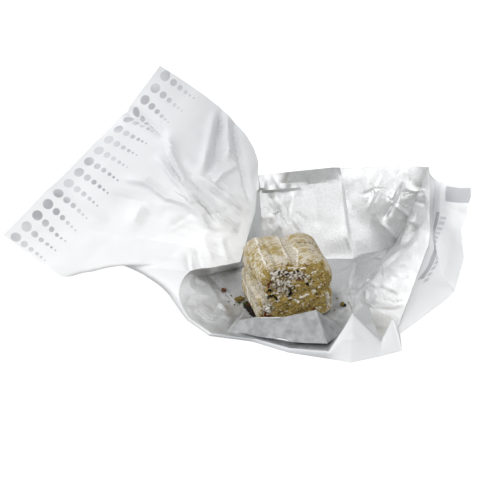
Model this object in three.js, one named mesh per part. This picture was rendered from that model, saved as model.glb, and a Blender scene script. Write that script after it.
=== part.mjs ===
// An unwrapped white chocolate truffle on its own opened, foil-lined wrapper.
// Sizes are in millimetres. +Z is up, +Y points away from the viewer, and the table is at Z = 0.
import * as THREE from "three";

// The truffle: a small rounded block, turned a little so that its left side shows.
const TRUFFLE_WIDTH = 21.2;
const TRUFFLE_DEPTH = 20;
const TRUFFLE_HEIGHT = 17.2;
const TRUFFLE_YAW = THREE.MathUtils.degToRad(15);
const TRUFFLE_PLACE = [1.5, 1.5];
const CORNER_ROUND = 3.2;
const BOTTOM_ROUND = 1.6;
const LEFT_TOP_ROUND = 4.4;
const RIGHT_TOP_ROUND = 6;
const CROWN = 0.25;
// The waist is the groove between the upper half and the slightly wider slab below it.
const WAIST_HEIGHT = 8.2;
const WAIST_DEPTH = 1.15;
const WAIST_SPREAD = 0.7;
const SLAB_STEP = 0.25;
// A shallow trough runs over the top from back to front, with a finer scored line to its left.
const BAND_OFFSET = 0.6;
const BAND_WIDTH = 1.3;
const BAND_DEPTH = 0.45;
const SCORE_OFFSET = -5.2;
const SCORE_DEPTH = 0.3;
// The front is broken chocolate, with crags and pits.
const CRAG_SIZE = 2.3;
const CRAG_DEPTH = 0.75;
const PIT_SIZE = 1.25;
const PIT_DEPTH = 0.9;
const SIDE_GRAIN = 0.16;
const TRUFFLE_STEPS = [20, 18, 18];

// The wrapper: one sheet of paper with a foil lining, crumpled open into a tray.
// The real sheet is about 0.07 thick. The solid is thicker, so that it holds together as a solid.
const SHEET_THICKNESS = 0.3;
const SIT_CLEARANCE = 0.25;
const PAD_MARGIN = 0.9;
const STEP_LENGTH = 3.6;
const PAD_ROWS = 2;
const FLOOR_ROWS = 2;
const WALL_ROWS = 5;
const OUTER_ROWS = 8;
const LOOSE_LENGTH = 25;
const CREASE_SIZE = 8.5;
const CREASE_DEPTH = 0.75;
const FINE_CREASE_SIZE = 4.3;
const FINE_CREASE_DEPTH = 0.3;
const PLEAT_COUNT = 7;
const PLEAT_DEPTH = 1;
const LEAN_ROUNDS = 16;
const LEAN_STEP = 0.15;

// Folds of the sheet around the truffle, anticlockwise seen from above. At each one the sheet leaves
// the floor at foot, rises to crest, and where it goes on it passes middle and ends at outer.
// ridge is a pleat of the floor in front of the truffle, and waist is where a bowed wall passes half way up.
const FOLDS = [
  { foot: [22.8, 3.1, 0.6], crest: [31.2, -12.8, 0.9],
    middle: [31.4, -13.6, 0.5], outer: [31.6, -14.5, 0.15] },
  { foot: [32.4, 21.7, 0.7], crest: [40.8, 6.8, 15.4],
    middle: [42.7, 16, 6.1], outer: [49.2, 5.9, 0.6] },
  { foot: [33.7, 23.6, 0.8], crest: [41.7, 11.5, 16.9],
    middle: [43.9, 22, 8.2], outer: [51.5, 9.5, 9.6] },
  { foot: [35, 25.7, 0.9], crest: [42.1, 17.4, 18.7],
    middle: [44.9, 29, 10.3], outer: [50.6, 13, 16.3] },
  { foot: [37.6, 29.7, 1.1], crest: [42.4, 26.8, 29.4],
    middle: [48.1, 42, 16.7], outer: [53.9, 15.8, 31] },
  { foot: [36.1, 29.5, 0.8], crest: [36.2, 36, 25.3], waist: [30.8, 30.2, 11.9] },
  { foot: [21.8, 24.2, 0.5], crest: [18.2, 40.1, 22.4], waist: [20.5, 32.7, 11.5] },
  { foot: [-4.3, 24.8, 0.5], crest: [-6.1, 36.3, 22],
    middle: [-12.6, 43.5, 35.1], outer: [-34.7, 49, 51.2] },
  { foot: [-7.9, 22.5, 0.5], crest: [-7.1, 26.5, 15],
    middle: [-24.2, 25, 28.8], outer: [-44.9, 46.5, 37.9] },
  { foot: [-12, 19, 0.5], crest: [-11.4, 14.2, 5.5],
    middle: [-44.1, 17, 12.4], outer: [-77, 7.8, 18] },
  { foot: [-19.3, 15.5, 0.5], crest: [-18.8, 11.4, 5.5],
    middle: [-40.9, 8.9, 9], outer: [-61, 0.8, 9] },
  { foot: [-20.9, 14.1, 0.5], crest: [-25.7, 7, 6.5],
    middle: [-36.7, 8.4, 7], outer: [-47.6, 11.1, 7] },
  { foot: [-16.5, 6, 0.5], crest: [-28.1, -3.2, 6],
    middle: [-31.5, 0.8, 5], outer: [-34.5, 6.3, 3] },
  { foot: [-10.6, -4.3, 0.5], crest: [-24.9, -10.9, 2.6],
    middle: [-25.6, -9.8, 1.4], outer: [-25.9, -6.7, 0.15] },
  { foot: [-14.9, -14.3, 0.5], crest: [-18.9, -15.9, 1.2],
    middle: [-19.4, -15.8, 0.6], outer: [-19.7, -15.3, 0.15], ridge: [-11.7, -10.5, 1.8] },
  { foot: [-7.1, -15.8, 0.5], crest: [-7.1, -18.3, 1.7],
    middle: [-7.7, -18.4, 0.9], outer: [-8.2, -18.1, 0.15], ridge: [-7.1, -14.8, 5.6] },
  { foot: [1.4, -18.5, 0.4], crest: [2, -22, 2],
    middle: [1.7, -23, 1.1], outer: [1.2, -23.2, 0.15], ridge: [0.4, -15.9, 6.4] },
  { foot: [11.5, -18.2, 0.4], crest: [11.8, -24.6, 3.8],
    middle: [11.9, -26, 2], outer: [11.6, -26, 0.15], ridge: [8.8, -15.4, 8.3] },
  { foot: [20.1, -11.8, 0.5], crest: [18.4, -17, 8.5],
    middle: [17.9, -22.6, 4], outer: [17.5, -27.8, 0.15], ridge: [15.1, -11.3, 0.55] },
  { foot: [25, -9.6, 0.6], crest: [26, -19.7, 1.1],
    middle: [25.8, -22.3, 0.7], outer: [25.6, -24.8, 0.15] },
  { foot: [24.3, -1.5, 0.6], crest: [29.4, -13.9, 4.9],
    middle: [30.5, -17.5, 2.5], outer: [31.4, -22.3, 0.15] },
];
// From the first of these folds round to the second, the sheet ends at its crest: the back edge.
const BACK_EDGE_FROM = 4;
const BACK_EDGE_TO = 7;
// Between these folds the sheet fans out to the left, with pleats that run along the fan.
const FAN_FROM = 7;
const FAN_TO = 11;
// Between these folds it curls round instead of lying in flat facets.
const CURL_FROM = 10;
const CURL_TO = 13;

const CHOCOLATE_COLOUR = 0xb4a883;
const WRAPPER_COLOUR = 0xdfe1e2;

const { clamp, lerp, smoothstep } = THREE.MathUtils;

// A repeatable number from 0 to 1 for each point of a whole-number grid.
function gridValue(i, j, k) {
  let seed = Math.imul(i, 374761393) + Math.imul(j, 668265263) + Math.imul(k, 1274126177);
  seed = Math.imul(seed ^ (seed >>> 13), 1274126177);
  return ((seed ^ (seed >>> 16)) >>> 0) / 4294967295;
}

// Smooth uneven relief from -1 to 1.
function lumps(x, y, z) {
  const corner = [Math.floor(x), Math.floor(y), Math.floor(z)];
  const part = [x - corner[0], y - corner[1], z - corner[2]].map((t) => t * t * (3 - 2 * t));
  let sum = 0;
  for (let bits = 0; bits < 8; bits++) {
    const step = [bits & 1, (bits >> 1) & 1, bits >> 2];
    let weight = 1;
    step.forEach((s, axis) => {
      weight *= s ? part[axis] : 1 - part[axis];
    });
    sum += weight * gridValue(corner[0] + step[0], corner[1] + step[1], corner[2] + step[2]);
  }
  return 2 * sum - 1;
}

// Flat facets with straight creases between them, from -1 to 1, as crumpled foil has.
function facets(x, y, layer) {
  const skewed = [x + 0.37 * y, y - 0.21 * x];
  const cell = skewed.map(Math.floor);
  const part = [skewed[0] - cell[0], skewed[1] - cell[1]];
  const value = (i, j) => gridValue(cell[0] + i, cell[1] + j, layer);
  const upper = part[1] > part[0];
  const turn = upper ? value(0, 1) : value(1, 0);
  const large = Math.max(part[0], part[1]);
  const small = Math.min(part[0], part[1]);
  return 2 * ((1 - large) * value(0, 0) + (large - small) * turn + small * value(1, 1)) - 1;
}

function hump(distance, spread) {
  return Math.exp(-((distance / spread) ** 2));
}

// The point of a rectangle's corner that is nearest to x, y once the corner is rounded.
function rounded(x, y, halfX, halfY, round) {
  const inner = new THREE.Vector2(clamp(x, round - halfX, halfX - round), clamp(y, round - halfY, halfY - round));
  const out = new THREE.Vector2(x, y).sub(inner);
  if (out.length() === 0) return { place: inner, out };
  out.normalize();
  return { place: inner.addScaledVector(out, round), out };
}

function truffleSolid() {
  const half = [TRUFFLE_WIDTH / 2, TRUFFLE_DEPTH / 2, TRUFFLE_HEIGHT / 2];
  const solid = new THREE.BoxGeometry(2, 2, 2, ...TRUFFLE_STEPS);
  const points = solid.attributes.position;
  const turn = new THREE.Matrix4().makeRotationZ(TRUFFLE_YAW);
  turn.setPosition(...TRUFFLE_PLACE, SHEET_THICKNESS + SIT_CLEARANCE);
  for (let i = 0; i < points.count; i++) {
    const unit = [points.getX(i), points.getY(i), points.getZ(i)].map((u) => u * (1.2 - 0.2 * u * u));
    const ring = Math.max(Math.abs(unit[0]), Math.abs(unit[1]));
    const aim = ring > 0 ? [unit[0] / ring, unit[1] / ring] : [1, 0];
    const plan = rounded(aim[0] * half[0], aim[1] * half[1], half[0], half[1], CORNER_ROUND);
    const reach = plan.place.length();
    const topRound = lerp(LEFT_TOP_ROUND, RIGHT_TOP_ROUND, (plan.place.x / half[0] + 1) / 2);
    const round = unit[2] > 0 ? topRound : BOTTOM_ROUND;
    const profile = rounded(ring * reach, unit[2] * half[2], reach, half[2], round);
    const spread = profile.place.x / reach;
    const place = new THREE.Vector3(plan.place.x * spread, plan.place.y * spread, profile.place.y);
    const out = new THREE.Vector3(plan.out.x * profile.out.x, plan.out.y * profile.out.x, profile.out.y);
    const height = place.z + half[2];
    const side = 1 - Math.abs(out.z);
    const front = smoothstep(-out.y, 0.35, 0.85);
    const top = smoothstep(out.z, 0.45, 0.9);
    const standing = smoothstep(height, 0.1, 1.2);

    let relief = CROWN * top * (1 - (place.x / half[0]) ** 2);
    const waist = side * (1 - 0.75 * front);
    relief -= WAIST_DEPTH * waist * hump(height - WAIST_HEIGHT, WAIST_SPREAD);
    relief += SLAB_STEP * waist * smoothstep(WAIST_HEIGHT - height, 0, 1);
    relief -= BAND_DEPTH * top * hump(place.x - BAND_OFFSET, BAND_WIDTH);
    relief -= SCORE_DEPTH * top * hump(place.x - SCORE_OFFSET, 0.6);
    const crag = lumps(place.x / CRAG_SIZE, place.y / CRAG_SIZE, place.z / CRAG_SIZE);
    const pit = lumps(place.x / PIT_SIZE + 7, place.y / PIT_SIZE, place.z / PIT_SIZE);
    relief += front * standing * (CRAG_DEPTH * crag - PIT_DEPTH * clamp(pit - 0.25, 0, 1));
    const grain = lumps(place.x / 1.7, place.y / 5 + 3, place.z / 1.9);
    relief += SIDE_GRAIN * grain * standing * (1 - front);

    place.addScaledVector(out, relief);
    place.z += half[2];
    place.applyMatrix4(turn);
    points.setXYZ(i, place.x, place.y, place.z);
  }
  solid.deleteAttribute("uv");
  solid.deleteAttribute("normal");
  return solid;
}

// The edge of the flat pad under the truffle, seen from the truffle's middle towards an angle.
function padEdge(angle) {
  const across = Math.abs(Math.cos(angle - TRUFFLE_YAW)) / (TRUFFLE_WIDTH / 2 + PAD_MARGIN);
  const along = Math.abs(Math.sin(angle - TRUFFLE_YAW)) / (TRUFFLE_DEPTH / 2 + PAD_MARGIN);
  const reach = (across ** 7 + along ** 7) ** (-1 / 7);
  const [x, y] = TRUFFLE_PLACE;
  return new THREE.Vector3(x + reach * Math.cos(angle), y + reach * Math.sin(angle), SHEET_THICKNESS / 2);
}

// The curve from start to end that passes through middle half way.
function bow(start, middle, end) {
  const pull = middle.clone().multiplyScalar(2).addScaledVector(start, -0.5).addScaledVector(end, -0.5);
  return new THREE.QuadraticBezierCurve3(start, pull, end);
}

// The lines of the sheet from the pad outwards, one for each step around the truffle.
function sheetLines() {
  const base = SHEET_THICKNESS / 2;
  const vector = (p) => p && new THREE.Vector3(p[0], p[1], Math.max(p[2], base));
  const folds = FOLDS.map((fold) => {
    const foot = vector(fold.foot);
    const crest = vector(fold.crest);
    const angle = Math.atan2(foot.y - TRUFFLE_PLACE[1], foot.x - TRUFFLE_PLACE[0]);
    const ridge = vector(fold.ridge) || padEdge(angle).lerp(foot, 0.5);
    const outer = vector(fold.outer) || crest.clone();
    const middle = vector(fold.middle) || crest.clone();
    const waist = vector(fold.waist) || foot.clone().lerp(crest, 0.5);
    return { foot, crest, middle, outer, ridge, waist, angle };
  });
  const lines = [];
  folds.forEach((here, index) => {
    const next = folds[(index + 1) % folds.length];
    const before = folds[(index + folds.length - 1) % folds.length];
    const beyond = folds[(index + 2) % folds.length];
    const curls = index >= CURL_FROM && index < CURL_TO;
    const width = Math.max(here.crest.distanceTo(next.crest), here.outer.distanceTo(next.outer) * 0.75);
    const steps = Math.max(2, Math.round(width / STEP_LENGTH));
    for (let step = 0; step < steps; step++) {
      const t = step / steps;
      const between = (name) => {
        if (!curls) return here[name].clone().lerp(next[name], t);
        const leaving = next[name].clone().sub(before[name]).multiplyScalar(0.5);
        const arriving = beyond[name].clone().sub(here[name]).multiplyScalar(0.5);
        const rounding = leaving.multiplyScalar(1 - t).addScaledVector(arriving, -t);
        const place = here[name].clone().lerp(next[name], t * t * (3 - 2 * t));
        return place.addScaledVector(rounding, t * (1 - t));
      };
      let sweep = next.angle - here.angle;
      sweep -= 2 * Math.PI * Math.floor(sweep / (2 * Math.PI));
      const angle = here.angle + t * sweep;
      const pad = padEdge(angle);
      const [ridge, foot, crest] = [between("ridge"), between("foot"), between("crest")];
      const line = [{ place: pad, loose: 0 }];
      for (let row = 1; row <= PAD_ROWS; row++) {
        line.push({ place: pad.clone().lerp(ridge, row / PAD_ROWS), loose: 0 });
      }
      for (let row = 1; row <= FLOOR_ROWS; row++) {
        line.push({ place: ridge.clone().lerp(foot, row / FLOOR_ROWS), loose: 0.2 });
      }
      const wall = bow(foot, between("waist"), crest);
      const wallLoose = clamp(foot.distanceTo(crest) / LOOSE_LENGTH, 0, 1);
      for (let row = 1; row <= WALL_ROWS; row++) {
        const loose = wallLoose * Math.sin((Math.PI * row) / WALL_ROWS);
        line.push({ place: wall.getPoint(row / WALL_ROWS), loose });
      }
      const ends = index >= BACK_EDGE_FROM && index < BACK_EDGE_TO && !(index === BACK_EDGE_FROM && step === 0);
      const outer = between("outer");
      const slope = bow(crest, between("middle"), outer);
      const slopeLoose = clamp(crest.distanceTo(outer) / LOOSE_LENGTH, 0, 1);
      for (let row = 1; row <= OUTER_ROWS && !ends; row++) {
        const place = slope.getPoint(row / OUTER_ROWS);
        if (index >= FAN_FROM && index < FAN_TO) {
          const across = (index - FAN_FROM + t) / (FAN_TO - FAN_FROM);
          const calm = Math.sin(Math.PI * (row / OUTER_ROWS)) * Math.sin(Math.PI * across) ** 0.5;
          place.z += PLEAT_DEPTH * calm * facets(across * PLEAT_COUNT, 0.2 * row, 5);
        }
        line.push({ place, loose: slopeLoose ** 2 * Math.min(1, row / 3) });
      }
      lines.push(line);
    }
  });
  return lines;
}

// The sheet's middle surface: its points, each with how loosely it lies, and triangles that face up.
function sheetSurface() {
  const lines = sheetLines();
  const points = [{ place: new THREE.Vector3(...TRUFFLE_PLACE, SHEET_THICKNESS / 2), loose: 0 }];
  const index = lines.map((line) => line.map((point) => points.push(point) - 1));
  const triangles = [];
  index.forEach((line, column) => {
    const next = index[(column + 1) % index.length];
    triangles.push([0, line[0], next[0]]);
    for (let row = 0; row + 1 < Math.min(line.length, next.length); row++) {
      triangles.push([line[row], line[row + 1], next[row + 1]]);
      triangles.push([line[row], next[row + 1], next[row]]);
    }
  });
  return { points, triangles };
}

// At each point, the direction that leans out of all the faces around it, also on a sharp fold.
function surfaceNormals(places, triangles) {
  const around = places.map(() => []);
  for (const [a, b, c] of triangles) {
    const edge = places[b].clone().sub(places[a]);
    const face = edge.cross(places[c].clone().sub(places[a])).normalize();
    for (const corner of [a, b, c]) around[corner].push(face);
  }
  return around.map((faces) => {
    const normal = new THREE.Vector3();
    faces.forEach((face) => normal.add(face));
    normal.normalize();
    for (let round = 0; round < LEAN_ROUNDS; round++) {
      const worst = faces.reduce((low, face) => (face.dot(normal) < low.dot(normal) ? face : low));
      normal.addScaledVector(worst, LEAN_STEP).normalize();
    }
    return normal;
  });
}

// Crumples the sheet off its floor, then gives it its thickness and closes its edge.
function wrapperSolid() {
  const { points, triangles } = sheetSurface();
  const places = points.map((point) => point.place);
  const base = SHEET_THICKNESS / 2;
  const smooth = surfaceNormals(places, triangles);
  points.forEach(({ place, loose }, i) => {
    const along = place.x - 0.3 * place.z;
    const across = place.y + 0.7 * place.z;
    const crease = CREASE_DEPTH * facets(along / CREASE_SIZE, across / CREASE_SIZE, 1);
    const fine = FINE_CREASE_DEPTH * facets(along / FINE_CREASE_SIZE + 3, across / FINE_CREASE_SIZE, 2);
    place.addScaledVector(smooth[i], loose * (crease + fine));
    place.z = Math.max(place.z, base);
  });

  const normals = surfaceNormals(places, triangles);
  const count = places.length;
  const corners = [];
  for (const side of [1, -1]) {
    places.forEach((place, i) => {
      const point = place.clone().addScaledVector(normals[i], side * base);
      corners.push(point.x, point.y, Math.max(point.z, side < 0 ? 0 : base));
    });
  }
  const faces = [];
  const open = new Map();
  for (const [a, b, c] of triangles) {
    faces.push(a, b, c, count + a, count + c, count + b);
    for (const [from, to] of [[a, b], [b, c], [c, a]]) {
      if (!open.delete(`${to} ${from}`)) open.set(`${from} ${to}`, [from, to]);
    }
  }
  for (const [from, to] of open.values()) {
    faces.push(from, count + from, to, to, count + from, count + to);
  }
  const solid = new THREE.BufferGeometry();
  solid.setAttribute("position", new THREE.Float32BufferAttribute(corners, 3));
  solid.setIndex(faces);
  return solid;
}

function piece(name, geometry, colour, roughness) {
  const mesh = new THREE.Mesh(geometry, new THREE.MeshStandardMaterial({ color: colour, roughness }));
  mesh.name = name;
  return mesh;
}

const truffle = piece("truffle", truffleSolid(), CHOCOLATE_COLOUR, 0.75);
const wrapper = piece("wrapper", wrapperSolid(), WRAPPER_COLOUR, 0.5);

// The origin is the middle of the whole object's box, on the table.
const box = new THREE.Box3().setFromObject(truffle).union(new THREE.Box3().setFromObject(wrapper));
const middle = box.getCenter(new THREE.Vector3());
const part = new THREE.Group();
for (const mesh of [truffle, wrapper]) {
  mesh.geometry.translate(-middle.x, -middle.y, -box.min.z);
  part.add(mesh);
}

export default part;
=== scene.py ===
import math

import bmesh
import bpy
import numpy as np
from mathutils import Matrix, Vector
from mathutils.bvhtree import BVHTree


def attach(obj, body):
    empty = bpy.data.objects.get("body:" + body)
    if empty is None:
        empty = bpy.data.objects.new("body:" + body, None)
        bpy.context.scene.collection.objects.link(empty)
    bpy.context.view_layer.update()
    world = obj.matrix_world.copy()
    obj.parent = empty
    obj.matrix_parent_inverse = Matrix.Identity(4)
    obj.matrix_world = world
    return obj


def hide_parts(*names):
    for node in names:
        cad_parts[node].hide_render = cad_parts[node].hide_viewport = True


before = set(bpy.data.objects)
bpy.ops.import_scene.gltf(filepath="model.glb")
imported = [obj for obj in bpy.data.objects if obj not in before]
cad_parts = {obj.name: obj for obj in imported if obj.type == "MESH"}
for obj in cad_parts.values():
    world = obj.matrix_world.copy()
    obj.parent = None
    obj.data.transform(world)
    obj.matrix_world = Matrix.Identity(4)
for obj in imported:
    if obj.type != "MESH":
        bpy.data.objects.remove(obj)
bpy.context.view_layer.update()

# The camera. It looks down on the opened wrapper from in front, from far enough away that the near
# and far edges are drawn almost to one scale. Its sizes are in millimetres, as are those of the pieces.
MM_IN_METRE = 1000
CAMERA_AIM = np.array([0.19, -1.65, 15.7])
CAMERA_DISTANCE = 371.0
CAMERA_TILT = math.radians(30)
LENS = 100.0
SENSOR = 36.0
PICTURE_SIDE = 480
looking = np.array([0, math.cos(CAMERA_TILT), -math.sin(CAMERA_TILT)])
upwards = np.array([0, math.sin(CAMERA_TILT), math.cos(CAMERA_TILT)])
camera_place = CAMERA_AIM - CAMERA_DISTANCE * looking

camera_data = bpy.data.cameras.new("camera")
camera_data.lens = LENS
camera_data.sensor_width = SENSOR
camera_data.clip_start = 0.01
camera = bpy.data.objects.new("camera", camera_data)
camera.location = Vector(camera_place / MM_IN_METRE)
camera.rotation_euler = (math.pi / 2 - CAMERA_TILT, 0, 0)
bpy.context.scene.collection.objects.link(camera)
bpy.context.scene.camera = camera


def picture(places):
    """Where points stand in the picture, in pixels from its upper left corner."""
    away = places - camera_place
    scale = LENS / SENSOR * PICTURE_SIDE / (away @ looking)
    half = PICTURE_SIDE / 2
    return np.stack([half + away[..., 0] * scale, half - (away @ upwards) * scale], axis=-1)


# The wrapper's paper. One thin white sheet, printed with graded dots along its end, that was folded
# round the sweet and is crumpled open: a tray in the middle, a fan to the left and a flap to the right.
# It lies on the table by its own creases, and the truffle holds down its middle.
PAPER_THICKNESS = 0.1
PAPER_SHARP_FOLD = math.radians(45)
PAD_HEIGHT = 0.38
PAD_MARGIN = 0.9
PAD_SQUARENESS = 7
TRUFFLE_WIDTH = 21.2
TRUFFLE_DEPTH = 20.0
TRUFFLE_YAW = math.radians(15)
TRUFFLE_PLACE = np.array([1.5, 1.5])
# The folds are measured from a point under the truffle, and the frame from the middle of the whole.
TO_FRAME = np.array([11.59, -10.70, 0])
# Each fold leaves the floor at its foot and rises to its crest. Where the sheet goes on from there, it
# passes a middle and ends at an outer point.
FOLDS = (
    ((21.0, 7.0, 0.6), (31.2, -12.8, 0.9), (31.4, -13.6, 0.5), (31.6, -14.5, 0.15)),
    ((29.8, 22.8, 0.7), (40.8, 6.8, 15.4), (42.7, 16, 6.1), (49.2, 5.9, 0.6)),
    ((31.5, 25.6, 0.8), (41.7, 11.5, 16.9), (43.9, 22, 8.2), (51.5, 9.5, 9.6)),
    ((33.3, 28.7, 0.9), (42.1, 17.4, 18.7), (44.9, 29, 10.3), (50.6, 13, 16.3)),
    ((35.2, 30.6, 1.1), (42.4, 26.8, 29.4), (48.1, 42, 16.7), (53.9, 15.8, 31)),
    ((34.0, 30.7, 0.8), (36.2, 36, 25.3)),
    ((21.8, 24.2, 0.5), (18.2, 40.1, 22.4)),
    ((-4.3, 24.8, 0.5), (-6.1, 36.3, 22), (-12.6, 43.5, 35.1), (-34.7, 49, 51.2)),
    ((-7.9, 22.5, 0.5), (-7.1, 26.5, 15), (-24.2, 25.0, 28.8), (-44.9, 46.5, 37.9)),
    ((-12, 19, 0.5), (-11.4, 14.2, 5.5), (-44.1, 17, 12.4), (-77, 7.8, 18)),
    ((-19.3, 15.5, 0.5), (-18.8, 11.4, 5.5), (-40.9, 8.9, 9), (-61, 0.8, 9)),
    ((-20.9, 14.1, 0.5), (-25.7, 7, 6.5), (-36.7, 8.4, 7), (-47.6, 11.1, 7)),
    ((-16.5, 6, 0.5), (-28.1, -3.2, 6), (-31.5, 0.8, 5), (-34.5, 6.3, 3)),
    ((-10.6, -4.3, 0.5), (-24.9, -10.9, 2.6), (-25.6, -9.8, 1.4), (-25.9, -6.7, 0.15)),
    ((-14.9, -14.3, 0.5), (-18.9, -15.9, 1.2), (-19.4, -15.8, 0.6), (-19.7, -15.3, 0.15)),
    ((-7.1, -16.2, 0.5), (-7.1, -18.5, 1.1), (-7.7, -18.4, 0.9), (-8.2, -18.1, 0.15)),
    ((1.4, -18.8, 0.4), (2, -22.2, 0.8), (1.7, -23, 1.1), (1.2, -23.2, 0.15)),
    ((11.5, -19.0, 0.4), (11.8, -24.8, 1.6), (11.9, -26, 2), (11.6, -26, 0.15)),
    ((20.1, -11.8, 0.5), (18.4, -17, 8.5), (17.9, -22.6, 4), (17.5, -27.8, 0.15)),
    ((25, -9.6, 0.6), (26, -19.7, 1.1), (25.8, -22.3, 0.7), (25.6, -24.8, 0.15)),
    ((24.3, -1.5, 0.6), (29.4, -13.9, 4.9), (30.5, -17.5, 2.5), (31.4, -22.3, 0.15)),
)
# By the number of the fold: where the floor rises in a pleat between the pad and the foot, where that
# pleat overhangs in front, and where a wall is bent half way up.
RIDGES = {14: (-11.7, -10.5, 1.8), 15: (-7.1, -14.8, 5.6), 16: (0.4, -15.9, 6.4), 17: (8.8, -15.4, 8.3),
          18: (15.1, -11.3, 0.55)}
BRIMS = {15: (-7.1, -17.4, 1.5), 16: (1.4, -20.9, 1.8), 17: (11.5, -22.1, 2.3)}
WAISTS = {5: (30.8, 30.2, 11.9), 6: (20.5, 32.7, 11.5)}
BRIM_PART = 0.75
BACK_EDGE_FROM = 4
BACK_EDGE_TO = 7
FAN_FROM = 7
FAN_TO = 11
# From one of these folds to the other the sheet curls round instead of lying in flat facets.
CURL_FROM = 10
CURL_TO = 13
FRONT_FOLDS_FROM = 14
FRONT_FOLDS_TO = 20
# The mesh: the length of a step along the folds, and the rows from the pad outwards.
STEP_LENGTH = 0.84
OUTER_STEP_SHARE = 0.9
LEAST_STEPS = 4
PAD_ROWS = 2
FLOOR_ROWS = 20
WALL_ROWS = 32
OUTER_ROWS = 78
# How loose the sheet is, from 0 where it is held to 1 where it crumples freely.
LOOSE_LENGTH = 25
FLOOR_LOOSE = 0.2
OUTER_LOOSENING = 2.7
GIVE_RATE = 4
PLEAT_COUNT = 7
PLEAT_RUN = 1.6
PLEAT_LAYER = 5
PLEAT_DEPTH = 0.7
# Crumples of the whole sheet: size across and height of the facets, and how much of them the tray has.
CRUMPLES = ((11.0, 0.55), (4.3, 0.2), (2.1, 0.07))
CRUMPLE_LEAN = (-0.3, 0.7)
CRUMPLE_SHIFT = 3
FACET_SKEW = (0.37, -0.21)
TRAY_CRUMPLE = 0.5
# Creases that stand out, by the line they follow in the picture: height, width left and right of it, line.
TRAY_CREASES = (
    (1.1, 26, 40, ((340, 166), (344, 217), (348, 254))),
    (-0.55, 5, 14, ((402, 180), (392, 203), (382, 223))),
    (0.5, 16, 10, ((382, 223), (402, 248))),
    (0.35, 4, 4, ((354, 259), (402, 248))),
    (0.7, 4, 3, ((411, 219), (402, 246))),
    (-0.8, 4, 6, ((418, 224), (405, 247))),
    (0.5, 3, 4, ((406, 215), (416, 224))),
    (-0.25, 4, 4, ((404, 178), (414, 186), (429, 189))),
    (0.2, 4, 5, ((405, 198), (428, 194))),
    (0.8, 22, 26, ((292, 190), (297, 225), (303, 233))),
    (-0.35, 9, 9, ((264, 196), (290, 228))),
    (0.3, 6, 6, ((274, 194), (282, 214), (279, 230))),
    (-0.25, 5, 6, ((266, 212), (286, 208))),
    (0.6, 9, 7, ((203, 272), (212, 292), (230, 318))),
    (-0.7, 6, 8, ((209, 275), (224, 290), (236, 304))),
    (0.4, 6, 6, ((192, 300), (210, 313), (236, 322))),
    (-0.3, 5, 5, ((186, 306), (206, 322), (226, 328))),
    (-0.7, 17, 15, ((267, 320), (276, 331), (290, 341))),
    (0.5, 3, 8, ((402, 249.5), (357, 290))),
    (0.8, 3, 8, ((333, 321), (356, 304.5))),
)
# The top of the back wall is bent forwards, and next to the fan a corner of it is folded down.
HEM_CREASES = (
    (4.3, 13, 13, ((274, 172), (341, 167))),
    (2.4, 16, 2.0, ((264, 190), (290, 189))),
)
FLAP_CREASES = (
    (2.6, 14, 26, ((448, 172), (446, 215), (438, 246), (424, 288))),
    (1.4, 14, 10, ((420, 291), (456, 291))),
    (-0.6, 8, 8, ((452, 208), (466, 216))),
)
FAN_CREASES = (
    (1.3, 5, 6, ((166, 130), (172, 154), (186, 182), (207, 203), (224, 219), (244, 238))),
    (1.0, 5, 5, ((156, 154), (176, 182), (189, 195), (201, 211), (213, 234))),
    (1.2, 8, 5, ((118, 178), (146, 183), (166, 197), (187, 203), (200, 215), (208, 232))),
    (1.2, 8, 5, ((214, 112), (201, 172))),
    (-1.1, 5, 5, ((221, 110), (216, 157), (205, 175))),
    (1.0, 5, 5, ((226, 114), (227, 160))),
    (-1.4, 5, 4, ((233, 122), (238, 148), (245, 177), (251, 205))),
    (0.8, 4, 5, ((213, 185), (222, 174), (236, 166))),
    (0.5, 2.5, 2.5, ((199, 174), (246, 213))),
    (-0.5, 2.5, 2.5, ((206, 176), (247, 207))),
    (-0.5, 2.5, 2.5, ((196, 181), (243, 219))),
    (0.5, 2.5, 2.5, ((192, 189), (241, 227))),
    (0.5, 2.5, 2.5, ((214, 177), (248, 201))),
    (0.8, 12, 12, ((143, 203), (133, 222))),
    (-0.8, 10, 10, ((112, 194), (148, 204))),
    (-1.2, 8, 8, ((124, 111), (148, 121), (168, 138))),
    (0.6, 10, 14, ((40, 190), (108, 222))),
    (-0.6, 4, 4, ((187, 254), (189, 273))),
    (0.5, 5, 5, ((203, 234), (212, 264))),
    (0.5, 5, 5, ((221, 238), (228, 263))),
    (-0.4, 4, 4, ((196, 246), (201, 270))),
)
FAN_STRENGTH = 1.35
FAN_SOFTNESS = 0.3
FLAP_SOFTNESS = 0.4
# Small creases strewn over parts of the picture: softness, how many, which draw, corners, lengths,
# heights and widths, and the point that they run to if there is one.
NECK = (248, 218)
TRAY_CRINKLES = (
    (0.0, 60, 4, (185, 165), (430, 345), (10, 36), (0.05, 0.2), (3, 8)),
    (0.0, 12, 11, (388, 174), (430, 248), (8, 26), (0.04, 0.12), (2, 5)),
    (0.0, 10, 15, (346, 286), (364, 305), (5, 12), (0.3, 0.7), (2, 4)),
    (0.0, 20, 12, (188, 272), (240, 322), (10, 30), (0.1, 0.35), (3, 8)),
    (0.0, 14, 13, (350, 262), (408, 314), (10, 34), (0.04, 0.14), (4, 9)),
    (0.0, 12, 14, (264, 185), (300, 235), (8, 24), (0.08, 0.2), (4, 8)),
)
FAN_CRINKLES = (
    (0.3, 50, 5, (20, 75), (262, 285), (20, 60), (0.05, 0.2), (3, 8), NECK),
    (0.2, 44, 6, (160, 130), (262, 265), (14, 40), (0.15, 0.45), (2.5, 5), NECK),
)
FLAP_CRINKLES = (
    (0.3, 16, 9, (325, 312), (405, 352), (8, 24), (0.15, 0.5), (4, 8)),
    (0.2, 16, 8, (400, 175), (476, 330), (12, 40), (0.05, 0.25), (5, 11)),
)
TURN_SPREAD = 0.3
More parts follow.
